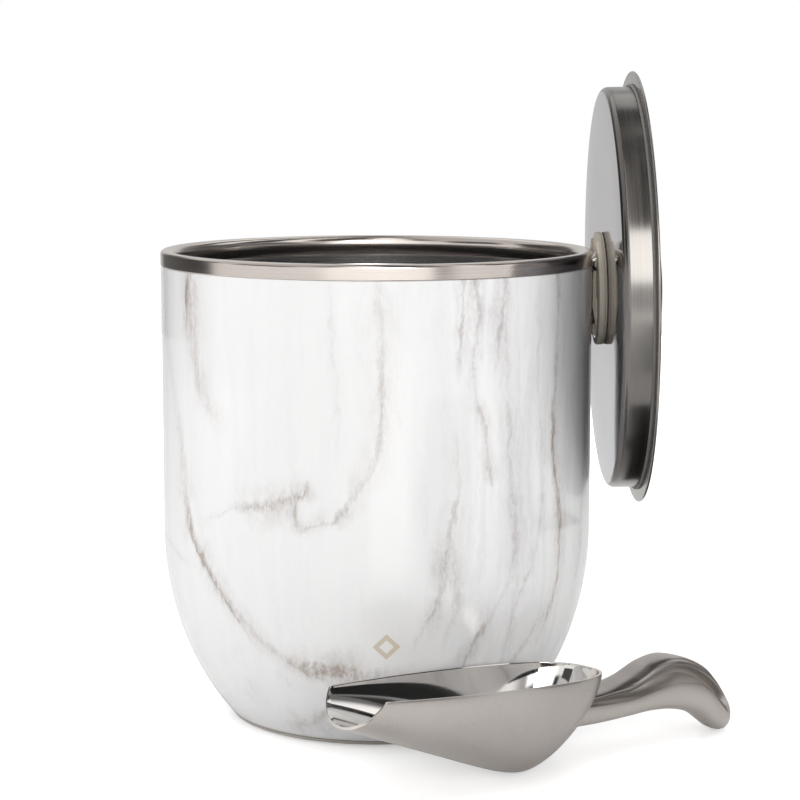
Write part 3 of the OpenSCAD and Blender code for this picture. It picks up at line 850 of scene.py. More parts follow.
class ICEBUCKET_OT_lid_pan(bpy.types.Operator):
    """Steel pan that goes into the mouth, with its polished face"""
    bl_idname = "icebucket.lid_pan"
    bl_label = "Lid pan"

    def execute(self, context):
        lid = context.scene.icebucket_lid
        s = Millimetres(lid)
        wall = 0.8
        r, f = s.plug_r, s.fillet
        face = [(0, 0), (30, 0), (60, 0)] + arc(r - f, f, f, -90, 0, 12)
        back = [(r - wall, s.plug_h)] + arc(r - f, f, f - wall, 0, -90, 8) + [(0, wall)]
        pan = turned("lid_pan", face + [(r, s.plug_h - 0.4), (r, s.plug_h)] + back, angle=35)
        place(pan, hung_matrix(lid))
        looks = context.scene.icebucket_looks
        side = lid_steel(context, "lid_side_steel", rgb(looks.lid), 0.2, 0.07)
        mirror = mirror_steel("lid_face_steel", rgb(looks.plug_face), 0.05)
        keep(pan, "lid", "lid_steel", ["lid_plug_pan"], side, mirror)
        towards_bucket = (hung_matrix(lid).to_3x3() @ Vector((0, 0, -1))).normalized()
        for face in pan.data.polygons:
            if face.normal.dot(towards_bucket) > 0.94:
                face.material_index = 1
        return {"FINISHED"}


class ICEBUCKET_OT_lid_seal(bpy.types.Operator):
    """Silicone ring at the root of the plug"""
    bl_idname = "icebucket.lid_seal"
    bl_label = "Lid seal"

    def execute(self, context):
        lid = context.scene.icebucket_lid
        s = Millimetres(lid)
        r0, r1, top = s.plug_r + 0.02, s.plug_r + 1.2, s.plug_h - 0.02
        lip = bend((r0 + 0.3, top - 1.25), (r1, top - 1.25), (r1, top - 0.5), 6)
        profile = [(r0, top - 1.1)] + lip + [(r1 - 0.15, top), (r0, top), (r0, top - 1.1)]
        seal = place(turned("lid_seal", profile, angle=40), hung_matrix(lid))
        silicone = moulded("seal_silicone", (0.15, 0.145, 0.14), 0.45)
        keep(seal, "lid", "seal_silicone", ["lid_seal_ring"], silicone)
        return {"FINISHED"}


class ICEBUCKET_OT_lid_knob(bpy.types.Operator):
    """Low round knob with room for the fingers under it"""
    bl_idname = "icebucket.lid_knob"
    bl_label = "Lid knob"

    def execute(self, context):
        lid = context.scene.icebucket_lid
        s = Millimetres(lid)
        base = s.plug_h + s.flange_t
        neck, r, gap = 9.0, s.knob_r, 5.0
        top = base + s.knob_h
        profile = (
            [(0, base + 0.02)] + bend((neck + 2, base + 0.02), (neck, base + 0.3), (neck, base + 2), 6)
            + bend((neck, base + 2), (neck, base + gap), (neck + 4, base + gap), 8)[1:]
            + [(r - 1.4, base + gap)]
            + bend((r - 1.2, base + gap), (r, base + gap), (r, base + gap + 1.3), 6)
            + bend((r, top - 1.7), (r - 0.1, top - 0.25), (r - 4, top - 0.05), 8)
            + [(r - 5.0, top - 0.3), (r - 5.6, top - 0.05), (6, top), (0, top)]
        )
        knob = place(turned("knob", profile, sides=128, angle=32), hung_matrix(lid))
        colour = rgb(context.scene.icebucket_looks.lid)
        # the knob takes the lid's steel made 1.5 times lighter: painted light, so the knob shows brighter
        # than the lid's sides
        steel = lid_steel(context, "knob_steel_painted_light", scaled(colour, 1.5), 0.2)
        keep(knob, "lid", "lid_steel", ["lid_knob"], steel)
        return {"FINISHED"}


# ---------------------------------------------------------------- clip

# the strap's seat in the puck: room round the strap, depth of the cut and its reach up the puck
SEAT_GAP = 0.06
SEAT_DEPTH = 8.0
SEAT_REACH = 40.0


class ICEBUCKET_OT_hook_strap(bpy.types.Operator):
    """Steel strap folded over the rim"""
    bl_idname = "icebucket.hook_strap"
    bl_label = "Hook strap"

    def execute(self, context):
        s = Millimetres(context.scene.icebucket_clip)
        lid = context.scene.icebucket_lid
        half_w = s.strap_w / 2
        out = s.strap_out
        low = lid.middle_z / MM - s.long_leg
        shoulder = s.strap_top - s.bend_r
        # the long leg is a plane; its top edge is spun, drawn across and spun again
        deselect()
        bpy.ops.mesh.primitive_plane_add(size=1, location=(out * MM, 0, (low + shoulder) / 2 * MM),
                                         rotation=(0, math.pi / 2, 0))
        strap = bpy.context.object
        strap.name = "hook_strap"
        strap.scale = ((shoulder - low) * MM, s.strap_w * MM, 1)
        settle(strap)
        edit()
        choose(strap, lambda p: near(p.z, shoulder), "EDGE")
        self.fold(out - s.bend_r, shoulder)
        across = out - s.strap_in - 2 * s.bend_r
        bpy.ops.mesh.extrude_edges_move(TRANSFORM_OT_translate={"value": (-across * MM, 0, 0)})
        self.fold(s.strap_in + s.bend_r, shoulder)
        drop = s.short_leg - s.bend_r
        bpy.ops.mesh.extrude_edges_move(TRANSFORM_OT_translate={"value": (0, 0, -drop * MM)})
        # round lower end and eased corners of the short leg
        choose(strap, lambda p: near(p.z, low) and near(p.x, out))
        bpy.ops.mesh.bevel(offset=half_w * 0.998 * MM, segments=14, affect="VERTICES")
        choose(strap, lambda p: near(p.z, s.strap_top - s.short_leg) and near(p.x, s.strap_in))
        bpy.ops.mesh.bevel(offset=2.0 * MM, segments=5, affect="VERTICES")
        bpy.ops.mesh.select_all(action="SELECT")
        bpy.ops.mesh.remove_doubles(threshold=0.01 * MM)
        bpy.ops.mesh.normals_make_consistent(inside=False)
        leave()
        if not any(p.normal.x > 0.9 and p.center.x > (out - 0.1) * MM for p in strap.data.polygons):
            edit()
            bpy.ops.mesh.select_all(action="SELECT")
            bpy.ops.mesh.flip_normals()
            leave()
        modifier(strap, "SOLIDIFY", thickness=s.strap_t * MM, offset=-1.0, use_even_offset=True)
        bevel_edges(strap, 0.18, 50)
        place(strap, lean_matrix(lid))
        finish_mesh(strap, 40)
        steel = satin_steel("strap_steel", rgb(context.scene.icebucket_looks.rim), 0.2, 0.05, (0.04, 1, 1))
        keep(strap, "hanger", "strap_steel", ["hanger_strap"], steel)
        return {"FINISHED"}

    def fold(self, x, z):
        bpy.ops.mesh.spin(steps=8, angle=-math.pi / 2, center=(x * MM, 0, z * MM), axis=(0, 1, 0))


class ICEBUCKET_OT_clip_pads(bpy.types.Operator):
    """Soft pad behind the strap and the small bar at its foot"""
    bl_idname = "icebucket.clip_pads"
    bl_label = "Clip pads"

    def execute(self, context):
        material = moulded("clip_pad_silicone", rgb(context.scene.icebucket_looks.taupe), 0.55)
        for name, node, ease in (("wall_pad", "hanger_pad", 0.35), ("strap_foot", "hanger_foot", 0.3)):
            piece = self.copy_node(node, name)
            bevel_edges(piece, ease, 40)
            finish_mesh(piece, 45)
            keep(piece, "hanger", "puck_silicone", [node], material)
        return {"FINISHED"}

    def copy_node(self, node, name):
        """A copy of a frame node with its loose triangles merged into clean faces."""
        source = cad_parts[node]
        piece = bpy.data.objects.new(name, source.data.copy())
        bpy.context.scene.collection.objects.link(piece)
        take(piece)
        edit("VERT")
        bpy.ops.mesh.select_all(action="SELECT")
        bpy.ops.mesh.remove_doubles(threshold=0.005 * MM)
        bpy.ops.mesh.dissolve_limited(angle_limit=math.radians(1))
        leave()
        return piece


class ICEBUCKET_OT_puck(bpy.types.Operator):
    """Round puck with its soft cover"""
    bl_idname = "icebucket.puck"
    bl_label = "Puck"

    def execute(self, context):
        lid = context.scene.icebucket_lid
        s = Millimetres(context.scene.icebucket_clip)
        r = s.puck_r
        silicone = moulded("puck_silicone", rgb(context.scene.icebucket_looks.taupe), 0.5)
        # heights below are measured from the lid's face, away from it
        body = (
            [(0, -3.78)] + bend((r - 1.1, -3.78), (r, -3.78), (r, -2.9), 6)
            + [(r, -1.5), (r - 0.15, -1.15), (r - 0.5, -1.03), (0, -1.03)]
        )
        housing = place(turned("puck_body", body, sides=128, angle=40), hung_matrix(lid))
        self.cut_strap_seat(context, housing, lid)
        keep(housing, "hanger", "puck_silicone", ["puck_housing"], silicone)
        cover = (
            [(0, -1.0), (r - 0.4, -1.0)] + bend((r - 0.1, -0.95), (r, -0.8), (r - 0.15, -0.55), 4)
            + bend((r - 0.4, -0.25), (r - 0.8, -0.07), (r - 1.4, -0.06), 4) + [(12, -0.06), (0, -0.06)]
        )
        face = place(turned("puck_face", cover, sides=128, angle=45), hung_matrix(lid))
        keep(face, "hanger", "puck_silicone", ["puck_cover"], silicone)
        return {"FINISHED"}

    def cut_strap_seat(self, context, housing, lid):
        """Takes the strap's seat out of the back of the puck."""
        s = Millimetres(context.scene.icebucket_clip)
        end_z = lid.middle_z / MM - s.long_leg + s.strap_w / 2
        half_w = s.strap_w / 2 + SEAT_GAP
        seat_x = s.strap_out + SEAT_GAP / 2 - SEAT_DEPTH / 2
        deselect()
        bpy.ops.mesh.primitive_cylinder_add(
            vertices=64, radius=half_w * MM, depth=SEAT_DEPTH * MM,
            location=(seat_x * MM, 0, end_z * MM), rotation=(0, math.pi / 2, 0))
        round_end = bpy.context.object
        bpy.ops.mesh.primitive_cube_add(size=1, location=(seat_x * MM, 0, (end_z + SEAT_REACH / 2) * MM))
        slot = bpy.context.object
        slot.scale = (SEAT_DEPTH * MM, 2 * half_w * MM, SEAT_REACH * MM)
        for cutter in (round_end, slot):
            place(cutter, lean_matrix(lid))
            modifier(housing, "BOOLEAN", operation="DIFFERENCE", solver="EXACT", object=cutter)
            bpy.data.objects.remove(cutter)
        take(housing)
        bpy.ops.object.shade_smooth_by_angle(angle=math.radians(40))


# ---------------------------------------------------------------- scoop, lip at the origin, then laid down

# distances along the scoop are measured from its lip; the lowest point and the widest are at
BELLY_U = 82.0
WIDE_U = 69.6
LIP_RIM_Z = 44.2
BACK_RIM_Z = 37.8
LIP_FLOOR_Z = 31.3
MOUTH_SET = 9.2
# how full the curves of the bowl are: plan outline, run to the lip, curve to the back, cross-section
PLAN_POWER = 2.6
LIP_POWER = 1.08
BELLY_POWER = 1.64
SECTION_POWER = 1.15
SCOOP_REST = Vector((54.24, -102.6, 0.15))

# rows and columns of the bowl's grids, and how much the rows crowd towards the back
ROWS = 96
COLUMNS = 64
ROW_CROWD = 1.7
# the run and the curve meet in a soft join
BELLY_SOFT = 3.2
BELLY_DROP = 1.3
BELLY_FADE = 9.0

HANDLE_ROOT = 117.0
HANDLE_END = 201.0
HANDLE_ROWS = 110
HANDLE_CROWD = 1.35
HANDLE_SWELL = 0.12
SWELL_FROM = 160.0
SWELL_TO = 195.0
ROOT_DEPTH = 0.5
ROOT_RUN = 24.0
CAP_START = 184.0
GROOVE_FADE = 185.0
# colour of the bowl's polished inside and the studs in it
POLISHED = (0.80, 0.785, 0.77)
STATION_0 = 104.0
STATION_STEP = 13.0
# heights at each station along the handle: crown, top edge of the groove, foot of the groove, underside
HANDLE_STATIONS = (
    (27.5, 25, 23, 14), (27.5, 26, 23, 14), (28.5, 27, 22.5, 13.8), (31, 28, 22.7, 14.3),
    (35.8, 32.4, 24.7, 14.5), (36.9, 33.6, 25.8, 13.1), (31.5, 27, 21.5, 8.5), (20, 15, 9, -2.6),
    (11, 8, 2, -9),
)
# half of the handle's section: share of the width, and level from 0 at the crown to 3 at the underside
HANDLE_SIDE = (
    (0.35, 0.02), (0.7, 0.12), (0.9, 0.45), (0.985, 0.8), (0.985, 0.98), (0.86, 1.08), (0.68, 1.28),
    (0.58, 1.5), (0.66, 1.74), (0.86, 1.92), (0.99, 2.0), (1.0, 2.1), (0.98, 2.35), (0.86, 2.66),
    (0.62, 2.89), (0.32, 2.98),
)


def fall(t, power):
    """From 1 at t = 0 down to 0 at t = 1, along a rounded corner."""
    return max(0.0, 1 - max(0.0, t) ** power) ** (1 / power)


def ramp(u, a, b):
    """Smooth step from 0 at a to 1 at b."""
    t = max(0.0, min(1.0, (u - a) / (b - a)))
    return t * t * (3 - 2 * t)


def laid_matrix(group):
    """Places the scoop on the surface in front of the bucket."""
    return (
        Matrix.Translation(SCOOP_REST * MM) @ Matrix.Rotation(group.heading, 4, "Z")
        @ Matrix.Rotation(-group.roll, 4, "X") @ Matrix.Translation((-BELLY_U * MM, 0, 0))
    )


class Bowl:
    """Shape of the scoop's bowl: plan outline, rim line and belly, in millimetres."""

    def __init__(self, s, inset=0.0):
        self.l = s.bowl_l - inset
        self.full = s.bowl_l
        self.w = s.bowl_w / 2 - inset
        self.mouth = s.mouth_w / 2 - inset
        self.inset = inset

    def half_width(self, u):
        if u > WIDE_U:
            return self.w * fall((u - WIDE_U) / (self.l - WIDE_U), PLAN_POWER)
        return self.mouth + (self.w - self.mouth) * (1 - (1 - u / WIDE_U) ** 2)

    def rim(self, u):
        return mix(LIP_RIM_Z, BACK_RIM_Z, u / self.full)

    def belly(self, u):
        """Underside along the middle: a straight run to the lip, softly joined to a curve up to the back."""
        past = u - BELLY_U
        run = -LIP_FLOOR_Z * LIP_POWER / BELLY_U * past
        if past < 0:
            run = LIP_FLOOR_Z * (1 - u / BELLY_U) ** LIP_POWER
        back = self.rim(u) * (1 - fall(past / (self.l - BELLY_U), BELLY_POWER)) if past > 0 else 0.0
        joined = (run + back + math.hypot(run - back, BELLY_SOFT)) / 2
        return joined - BELLY_DROP * math.exp(-((joined / BELLY_FADE) ** 2))

    def point(self, along, around):
        a = math.pi * around
        start = MOUTH_SET * (1 - math.sin(a))
        u = start + (self.l - start) * (1 - (1 - along) ** ROW_CROWD)
        z = min(self.rim(u) - 0.01, self.belly(u) + self.inset)
        height = self.rim(u) - (self.rim(u) - z) * math.sin(a) ** SECTION_POWER
        return Vector((u, self.half_width(u) * math.cos(a), height))

    def back_u(self, v, z):
        """Distance along the scoop where the back of the bowl is, at a width v and height z."""
        low, high = BELLY_U, self.l
        for _ in range(24):
            mid = (low + high) / 2
            half = self.half_width(mid)
            inner = half > abs(v)
            sine = math.sin(math.acos(v / half)) ** SECTION_POWER if inner else 0.0
            if self.rim(mid) - (self.rim(mid) - self.belly(mid)) * sine > z:
                high = mid
            else:
                low = mid
        return low


def grid_piece(name, rows, columns, place_of):
    """A grid primitive whose points are moved to place_of(row, column)."""
    deselect()
    bpy.ops.mesh.primitive_grid_add(x_subdivisions=rows, y_subdivisions=columns, size=2, location=(0, 0, 0))
    obj = bpy.context.object
    obj.name = name
    for v in obj.data.vertices:
        row = round((v.co.x + 1) / 2 * rows)
        column = round((v.co.y + 1) / 2 * columns)
        v.co = place_of(row, column) * MM
    return obj


class ICEBUCKET_OT_scoop_bowl(bpy.types.Operator):
    """Scoop bowl with its pouring lip"""
    bl_idname = "icebucket.scoop_bowl"
    bl_label = "Scoop bowl"

    def execute(self, context):
        group = context.scene.icebucket_scoop
        s = Millimetres(group)
        skins = []
        for name, inset in (("scoop_body", 0.0), ("inner_skin", s.bowl_t)):
            bowl = Bowl(s, inset)
            skin = grid_piece(name, ROWS, COLUMNS, lambda i, j: bowl.point(i / ROWS, j / COLUMNS))
            take(skin)
            edit("VERT")
            bpy.ops.mesh.select_all(action="SELECT")
            bpy.ops.mesh.remove_doubles(threshold=0.02 * MM)
            leave()
            for face in skin.data.polygons:
                face.material_index = len(skins)
            skins.append(skin)
        piece = take(skins[0])
        looks = context.scene.icebucket_looks
        satin = satin_steel("scoop_satin", rgb(looks.scoop), 0.3, 0.05)
        polished = mirror_steel("scoop_polished", POLISHED, 0.05)
        # the rim's edge takes the scoop's steel made smoother and 1.5 times lighter: the smoother finish is
        # real, the lighter colour is a painted highlight
        edge = satin_steel("scoop_edge_highlight", scaled(rgb(looks.scoop), 1.5), 0.18)
        for material in (satin, polished, edge):
            piece.data.materials.append(material)
            skins[1].data.materials.append(material)
        skins[1].select_set(True)
        bpy.ops.object.join()
        # the two skins are joined along the whole rim
        edit()
        bpy.ops.mesh.select_all(action="DESELECT")
        bpy.ops.mesh.select_non_manifold(use_wire=False, use_multi_face=False, use_non_contiguous=False,
                                         use_verts=False)
        before = len(piece.data.polygons)
        bpy.ops.mesh.bridge_edge_loops()
        leave()
        # the faces along the rim take the edge steel with its painted highlight
        for face in piece.data.polygons[before:]:
            face.material_index = 2
        edit()
        bpy.ops.mesh.select_all(action="SELECT")
        bpy.ops.mesh.normals_make_consistent(inside=False)
        leave()
        bevel_edges(piece, 0.35, 60)
        place(piece, laid_matrix(group))
        take(piece)
        bpy.ops.object.shade_smooth_by_angle(angle=math.radians(50))
        indices = [p.material_index for p in piece.data.polygons]
        keep(piece, "scoop", "scoop_steel", ["scoop_bowl"], satin, polished, edge)
        piece.data.polygons.foreach_set("material_index", indices)
        return {"FINISHED"}


class ICEBUCKET_OT_scoop_handle(bpy.types.Operator):
    """Scoop handle with a channel along each side"""
    bl_idname = "icebucket.scoop_handle"
    bl_label = "Scoop handle"

    def execute(self, context):
        group = context.scene.icebucket_scoop
        s = Millimetres(group)
        bowl = Bowl(s)
        outline = ((0.0, 0.0), *HANDLE_SIDE, (0.0, 3.0), *((-q, k) for q, k in reversed(HANDLE_SIDE)))
        sides = len(outline)
        # a grid is wrapped round the handle: each row of its points becomes a ring of the section
        piece = grid_piece("scoop_grip", HANDLE_ROWS, sides,
                           lambda i, j: self.point(s, bowl, i / HANDLE_ROWS, outline[j % sides]))
        finish_mesh(piece, 38)
        edit()
        bpy.ops.mesh.select_all(action="DESELECT")
        bpy.ops.mesh.select_non_manifold()
        bpy.ops.mesh.edge_face_add()
        bpy.ops.mesh.select_all(action="SELECT")
        bpy.ops.mesh.normals_make_consistent(inside=False)
        leave()
        place(piece, laid_matrix(group))
        colour = scaled(rgb(context.scene.icebucket_looks.scoop), 1.12)
        satin = satin_steel("handle_satin", colour, 0.34, 0.02)
        keep(piece, "scoop", "scoop_steel", ["scoop_handle"], satin)
        return {"FINISHED"}

    def level(self, u, column):
        """Smooth curve through the stations for one of the four levels."""
        k = (u - STATION_0) / STATION_STEP
        i = math.floor(k)
        t = k - i
        last = len(HANDLE_STATIONS) - 1
        a, b, c, d = (HANDLE_STATIONS[max(0, min(last, i + n))][column] for n in (-1, 0, 1, 2))
        return b + t / 2 * (c - a + t * (2 * a - 5 * b + 4 * c - d + t * (3 * (b - c) + d - a)))

    def point(self, s, bowl, along, q):
        share_out, level = q
        u = mix(HANDLE_ROOT, HANDLE_END - 0.08, 1 - (1 - along) ** HANDLE_CROWD)
        crown, under = self.level(u, 0), self.level(u, 3)
        mid = (crown + under) / 2
        i = min(2, math.floor(level))
        z = mix(self.level(u, i), self.level(u, i + 1), level - i)
        plain = math.copysign(fall(abs(level / 1.5 - 1), 2.5), share_out) if share_out else 0.0
        out = mix(share_out, plain, ramp(u, GROOVE_FADE, HANDLE_END - 2))
        cap = (u - CAP_START) / (HANDLE_END - CAP_START)
        swell = 1 + HANDLE_SWELL * ramp(u, SWELL_FROM, SWELL_TO)
        v = s.handle_w / 2 * swell * out * max(0.02, fall(cap, 2.4))
        z = mid + (z - mid) * max(0.03, fall(cap, 2))
        root = bowl.back_u(v, z) - ROOT_DEPTH - HANDLE_ROOT
        return Vector((u + root * (1 - ramp(u, HANDLE_ROOT, HANDLE_ROOT + ROOT_RUN)), v, z))


STUD_Z = 24.0
STUD_V = 4.5
STUD_TURN = 127.0


class ICEBUCKET_OT_scoop_studs(bpy.types.Operator):
    """Two small rivets inside the back of the bowl"""
    bl_idname = "icebucket.scoop_studs"
    bl_label = "Scoop studs"

    def execute(self, context):
        group = context.scene.icebucket_scoop
        s = Millimetres(group)
        bowl = Bowl(s)
        profile = [(0, -0.9)] + bend((0.6, -0.9), (1.5, -0.85), (1.8, -0.3), 6) + [(1.8, 0.6), (0, 0.6)]
        studs = []
        for side in (-1, 1):
            stud = turned("scoop_studs" if side < 0 else "stud_copy", profile, sides=32, angle=40)
            spot = Vector((bowl.back_u(STUD_V, STUD_Z) - s.bowl_t, side * STUD_V, STUD_Z)) * MM
            turn_in = Matrix.Rotation(math.radians(STUD_TURN), 4, "Y")
            place(stud, laid_matrix(group) @ Matrix.Translation(spot) @ turn_in)
            studs.append(stud)
        take(studs[0])
        studs[1].select_set(True)
        bpy.ops.object.join()
        polished = mirror_steel("stud_steel", POLISHED, 0.1)
        keep(studs[0], "scoop", "scoop_steel", ["scoop_rivets"], polished)
        return {"FINISHED"}


# ---------------------------------------------------------------- inner pieces, which keep the frame's shapes

class ICEBUCKET_OT_inner_parts(bpy.types.Operator):
    """Finishes of the pieces inside the bucket, lid and clip"""
    bl_idname = "icebucket.inner_parts"
    bl_label = "Inner parts"

    def execute(self, context):
        looks = context.scene.icebucket_looks
        finishes = {
            "jacket": (satin_steel("jacket_steel", (0.42, 0.42, 0.43), 0.35), ["vacuum_bottom"]),
            "bead": (satin_steel("solder", (0.5, 0.5, 0.5), 0.3), ["seal_bead"]),
            "getter": (satin_steel("getter_alloy", (0.2, 0.2, 0.21), 0.5), ["getter"]),
            "foam": (moulded("lid_foam", (0.75, 0.71, 0.55), 0.8, 900.0, 0.2), ["lid_foam"]),
            "magnet": (satin_steel("magnet_plate", (0.45, 0.45, 0.46), 0.3), ["lid_keeper", "puck_magnet"]),
            "screw": (satin_steel("screw_steel", (0.5, 0.5, 0.5), 0.28), ["knob_screw", "knob_washer"]),
            "rivet": (satin_steel("rivet_steel", rgb(looks.rim), 0.25), ["puck_rivets"]),
        }
        for material, nodes in finishes.values():
            for name in nodes:
                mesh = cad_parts[name].data
                mesh.materials.clear()
                mesh.materials.append(material)
        return {"FINISHED"}


# ---------------------------------------------------------------- floor, light and camera

FLOOR_R = 1.6
FLOOR_DROP = 0.0002
# light that the floor adds for the camera: near the bucket, and where it has become plain white
FLOOR_LIFT = 0.42
FLOOR_NEAR = 0.35
FLOOR_FAR = 1.0
TOP_SHADE = 0.20
# brightness of the studio by heading in degrees, 0 in front and 90 to the right: near the horizon,
# then above it
LOW_SCREENS = (
    (-180, 0.68), (180, 0.68), (-164, 0.68), (-152, 0.14), (-98, 0.05), (-92, 0.95), (-31, 1.0), (-23, 1.4),
    (28, 1.4), (31, 0.45), (34, 0.45), (45, 1.0), (72, 0.9), (75, 1.5), (77, 1.5), (80, 0.35), (97, 0.18),
    (123, 0.12), (150, 0.24), (164, 0.68),
)
HIGH_SCREENS = (
    (-180, 0.10), (180, 0.10), (-171, 0.10), (-160, 0.8), (-110, 0.7), (-40, 0.6), (-32, 0.05), (-25, 0.05),
    (-20, 1.5), (0, 1.5), (4, 0.03), (44, 0.03), (50, 1.5), (62, 1.4), (70, 0.05), (98, 0.05), (108, 1.2),
    (124, 1.2), (129, 0.06), (146, 0.06), (152, 1.1), (171, 0.10),
)
# soft lights for the print, rubber and floor: name, place, aim, width in millimetres, power in watts
SOFT_LIGHTS = (
    ("key_left", (-1150, -60, 500), (0, 0, 110), 900, 8.0),
    ("key_right", (900, -800, 400), (0, 0, 110), 800, 4.6),
    ("top", (0, 0, 2600), (0, 0, 0), 2600, 30.0),
)
# green and blue of the screens, as a share of their red
SCREEN_TINT = (0.985, 0.97)
# lamps of the studio: lowest and highest rise, left and right heading, brightness
LAMPS = (
    ((7.5, 37.0), (-3.0, 18.0), 5.8),
    ((30.0, 53.0), (-178.9, -150.0), 1.1),
    ((30.0, 53.0), (150.0, 178.9), 1.1),
    ((12.0, 31.0), (-82.0, -44.0), 0.05),
)
# half of the soft edge round each lamp, in degrees
LAMP_EDGE = 1.0
# cards that only the steel sees: name, brightness, corners on the floor plan and two heights, in millimetres
CARDS = (
    ("lid_card", 0.03, ((110, -108), (145, -108), (145, -8), (110, -8)), (85, 85)),
    ("front_card", 0.012, ((152, -380), (297, -297), (297, -297), (152, -380)), (0.6, 110)),
    ("front_strip", 0.012, ((152, -380), (297, -297), (200, -215), (145, -250)), (0.5, 0.5)),
    ("right_card", 0.015, ((336, -205), (358, -75), (358, -75), (336, -205)), (0.6, 150)),
)
CAMERA_PLACE = Vector((0.0, -991.94, 275.3))
CAMERA_PITCH = 7.791
LENS = 101.25
SHIFT_X = 0.0291
SENSOR = 36.0


class ICEBUCKET_OT_stage(bpy.types.Operator):
    """Pale floor, soft studio light and the camera"""
    bl_idname = "icebucket.stage"
    bl_label = "Stage"

    def execute(self, context):
        scene = context.scene
        scene.view_settings.view_transform = "Standard"
        self.floor()
        self.surroundings(scene)
        for lamp in SOFT_LIGHTS:
            self.light(*lamp)
        self.camera(scene)
        return {"FINISHED"}

    def floor(self):
        deselect()
        bpy.ops.mesh.primitive_circle_add(
            vertices=128, radius=FLOOR_R, fill_type="NGON", location=(0, 0, -FLOOR_DROP))
        floor = bpy.context.object
        floor.name = "floor"
        f = Finish("floor_white", Roughness=0.16, Specular_IOR_Level=0.3)
        grain = f.noise(f.coords, 300.0, 3.0, 0.5)
        f.colour(f.blend(grain, (0.80, 0.80, 0.80), (0.82, 0.82, 0.82)))
        path = f.node("ShaderNodeLightPath")
        f.set("Emission Color", (1.0, 1.0, 1.0))
        x, y, _ = f.xyz()
        lift = f.spread(f.radius(x, y), FLOOR_NEAR, FLOOR_FAR, FLOOR_LIFT, 1.0)
        f.link(f.mul(path.outputs["Is Camera Ray"], lift), f.shader.inputs["Emission Strength"])
        floor.data.materials.append(f.material)
        for card in CARDS:
            self.card(*card)

    def card(self, name, shade, corners, heights):
        """A dark card that only the steel sees."""
        deselect()
        bpy.ops.mesh.primitive_plane_add(size=1, location=(0, 0, 0))
        card = bpy.context.object
        card.name = name
        places = [(*corner, heights[k > 1]) for k, corner in enumerate(corners)]
        for index, place_now in zip((0, 1, 3, 2), places):
            card.data.vertices[index].co = Vector(place_now) * MM
        f = Finish(name, Roughness=0.9, Specular_IOR_Level=0.1)
        grey = (shade, shade, shade)
        f.colour(f.blend(f.noise(f.coords, 40.0), grey, scaled(grey, 1.4)))
        card.data.materials.append(f.material)
        for way in ("camera", "diffuse", "transmission", "shadow"):
            setattr(card, "visible_" + way, False)

    def surroundings(self, scene):
        """White to the camera; to the steel, a studio of pale screens with dark gaps between them."""
        world = bpy.data.worlds.new("studio")
        world.use_nodes = True
        scene.world = world
        n = Nodes(world.node_tree, "BACKGROUND", "Generated")
        x, y, z = n.xyz()
        around = n.add(n.math("DIVIDE", n.math("ARCTAN2", x, n.mul(y, -1.0)), 2 * math.pi), 0.5)
        rise = n.add(n.math("DIVIDE", n.math("ARCSINE", z), math.pi), 0.5)

        def shades(value, half, stops):
            """Brightness along a scale of degrees from -half to half."""
            ramp_node = n.node("ShaderNodeValToRGB")
            band = ramp_node.color_ramp
            band.interpolation = "EASE"
            for k, (degrees, shade) in enumerate(stops):
                at = (degrees + half) / (2 * half)
                stop = band.elements.new(at) if k > 1 else band.elements[k]
                stop.position = at
                stop.color = (shade, shade * SCREEN_TINT[0], shade * SCREEN_TINT[1], 1)
            n.link(value, ramp_node.inputs[0])
            return ramp_node.outputs[0]

        def window(value, half, low, high):
            """1 between two angles and 0 outside them, with soft edges."""
            ends = [(-half, 0.0), (half, 0.0)]
            rises = [(low - LAMP_EDGE, 0.0), (low + LAMP_EDGE, 1.0)]
            falls = [(high - LAMP_EDGE, 1.0), (high + LAMP_EDGE, 0.0)]
            return shades(value, half, ends + rises + falls)

        to_high = shades(rise, 90, [(-90, 0.0), (90, 1.0), (24, 0.0), (31, 1.0)])
        to_top = shades(rise, 90, [(-90, 0.0), (90, 1.0), (78, 0.0), (84, 1.0)])
        room = n.blend(to_high, shades(around, 180, LOW_SCREENS), shades(around, 180, HIGH_SCREENS))
        for (low, high), (left, right), bright in LAMPS:
            here = n.mul(window(rise, 90, low, high), window(around, 180, left, right))
            room = n.blend(here, room, (bright, bright, bright * SCREEN_TINT[0]))
        room = n.blend(to_top, room, (TOP_SHADE, TOP_SHADE, TOP_SHADE))
        to_camera = n.node("ShaderNodeLightPath").outputs["Is Camera Ray"]
        n.link(n.blend(to_camera, room, (1.0, 1.0, 1.0)), n.shader.inputs["Color"])
        n.shader.inputs["Strength"].default_value = 1.0

    def light(self, name, spot, aim, width, power):
        data = bpy.data.lights.new(name, "AREA")
        data.shape = "DISK"
        data.size = width * MM
        data.energy = power
        lamp = bpy.data.objects.new(name, data)
        bpy.context.scene.collection.objects.link(lamp)
        lamp.location = Vector(spot) * MM
        look = (Vector(aim) - Vector(spot)).normalized()
        lamp.rotation_euler = look.to_track_quat("-Z", "Y").to_euler()
        lamp.visible_glossy = False
        lamp.visible_camera = False

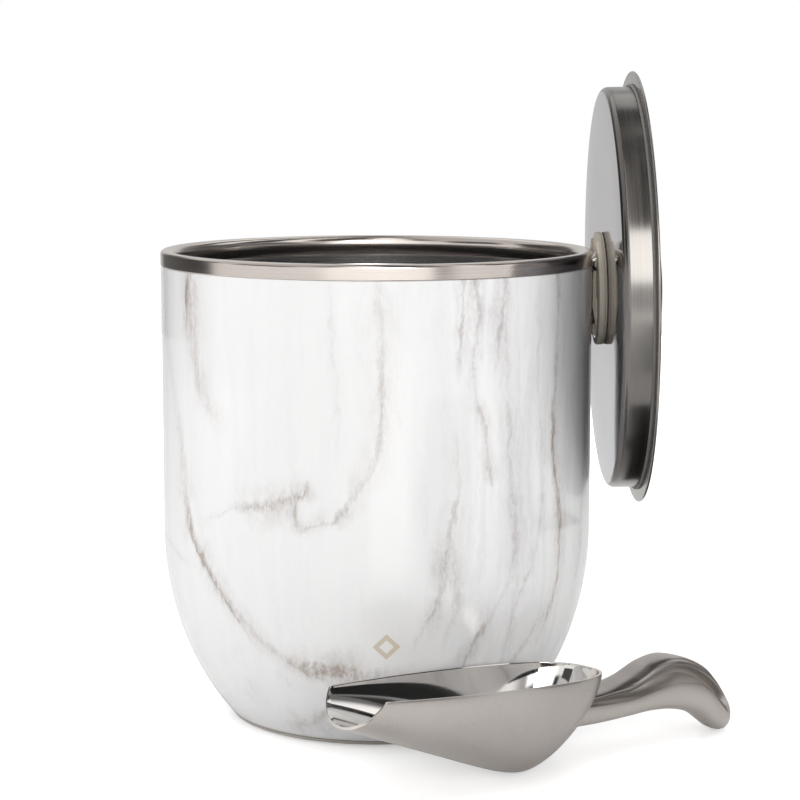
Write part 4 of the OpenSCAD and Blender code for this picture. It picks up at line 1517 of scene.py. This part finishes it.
    def camera(self, scene):
        data = bpy.data.cameras.new("camera")
        data.lens = LENS
        data.sensor_width = SENSOR
        data.shift_x = SHIFT_X
        data.clip_start = 0.01
        data.clip_end = 50.0
        camera = bpy.data.objects.new("camera", data)
        scene.collection.objects.link(camera)
        camera.location = CAMERA_PLACE * MM
        camera.rotation_euler = (math.radians(90 - CAMERA_PITCH), 0, 0)
        scene.camera = camera


# ---------------------------------------------------------------- panel, registering and running

OPERATORS = (
    ICEBUCKET_OT_stage, ICEBUCKET_OT_printed_wall, ICEBUCKET_OT_rim, ICEBUCKET_OT_liner, ICEBUCKET_OT_foot,
    ICEBUCKET_OT_lid_disc, ICEBUCKET_OT_lid_pan, ICEBUCKET_OT_lid_seal, ICEBUCKET_OT_lid_knob,
    ICEBUCKET_OT_hook_strap, ICEBUCKET_OT_clip_pads, ICEBUCKET_OT_puck,
    ICEBUCKET_OT_scoop_bowl, ICEBUCKET_OT_scoop_handle, ICEBUCKET_OT_scoop_studs, ICEBUCKET_OT_inner_parts,
)


class ICEBUCKET_PT_panel(bpy.types.Panel):
    """Sizes, colours and pieces of the ice bucket"""
    bl_idname = "ICEBUCKET_PT_panel"
    bl_label = "Ice bucket"
    bl_space_type = "VIEW_3D"
    bl_region_type = "UI"
    bl_category = "Ice bucket"

    def draw(self, context):
        for key, group in GROUPS.items():
            column = self.layout.column(align=True)
            for name in group.__annotations__:
                column.prop(getattr(context.scene, key), name)
        for operator in OPERATORS:
            self.layout.operator(operator.bl_idname)


def register():
    for cls in (*GROUPS.values(), *OPERATORS, ICEBUCKET_PT_panel):
        bpy.utils.register_class(cls)
    for key, group in GROUPS.items():
        setattr(bpy.types.Scene, key, bpy.props.PointerProperty(type=group))


def unregister():
    for key in GROUPS:
        delattr(bpy.types.Scene, key)
    for cls in reversed((*GROUPS.values(), *OPERATORS, ICEBUCKET_PT_panel)):
        bpy.utils.unregister_class(cls)


def main():
    register()
    for operator in OPERATORS:
        family, name = operator.bl_idname.split(".")
        getattr(getattr(bpy.ops, family), name)()


if __name__ == "__main__":
    main()
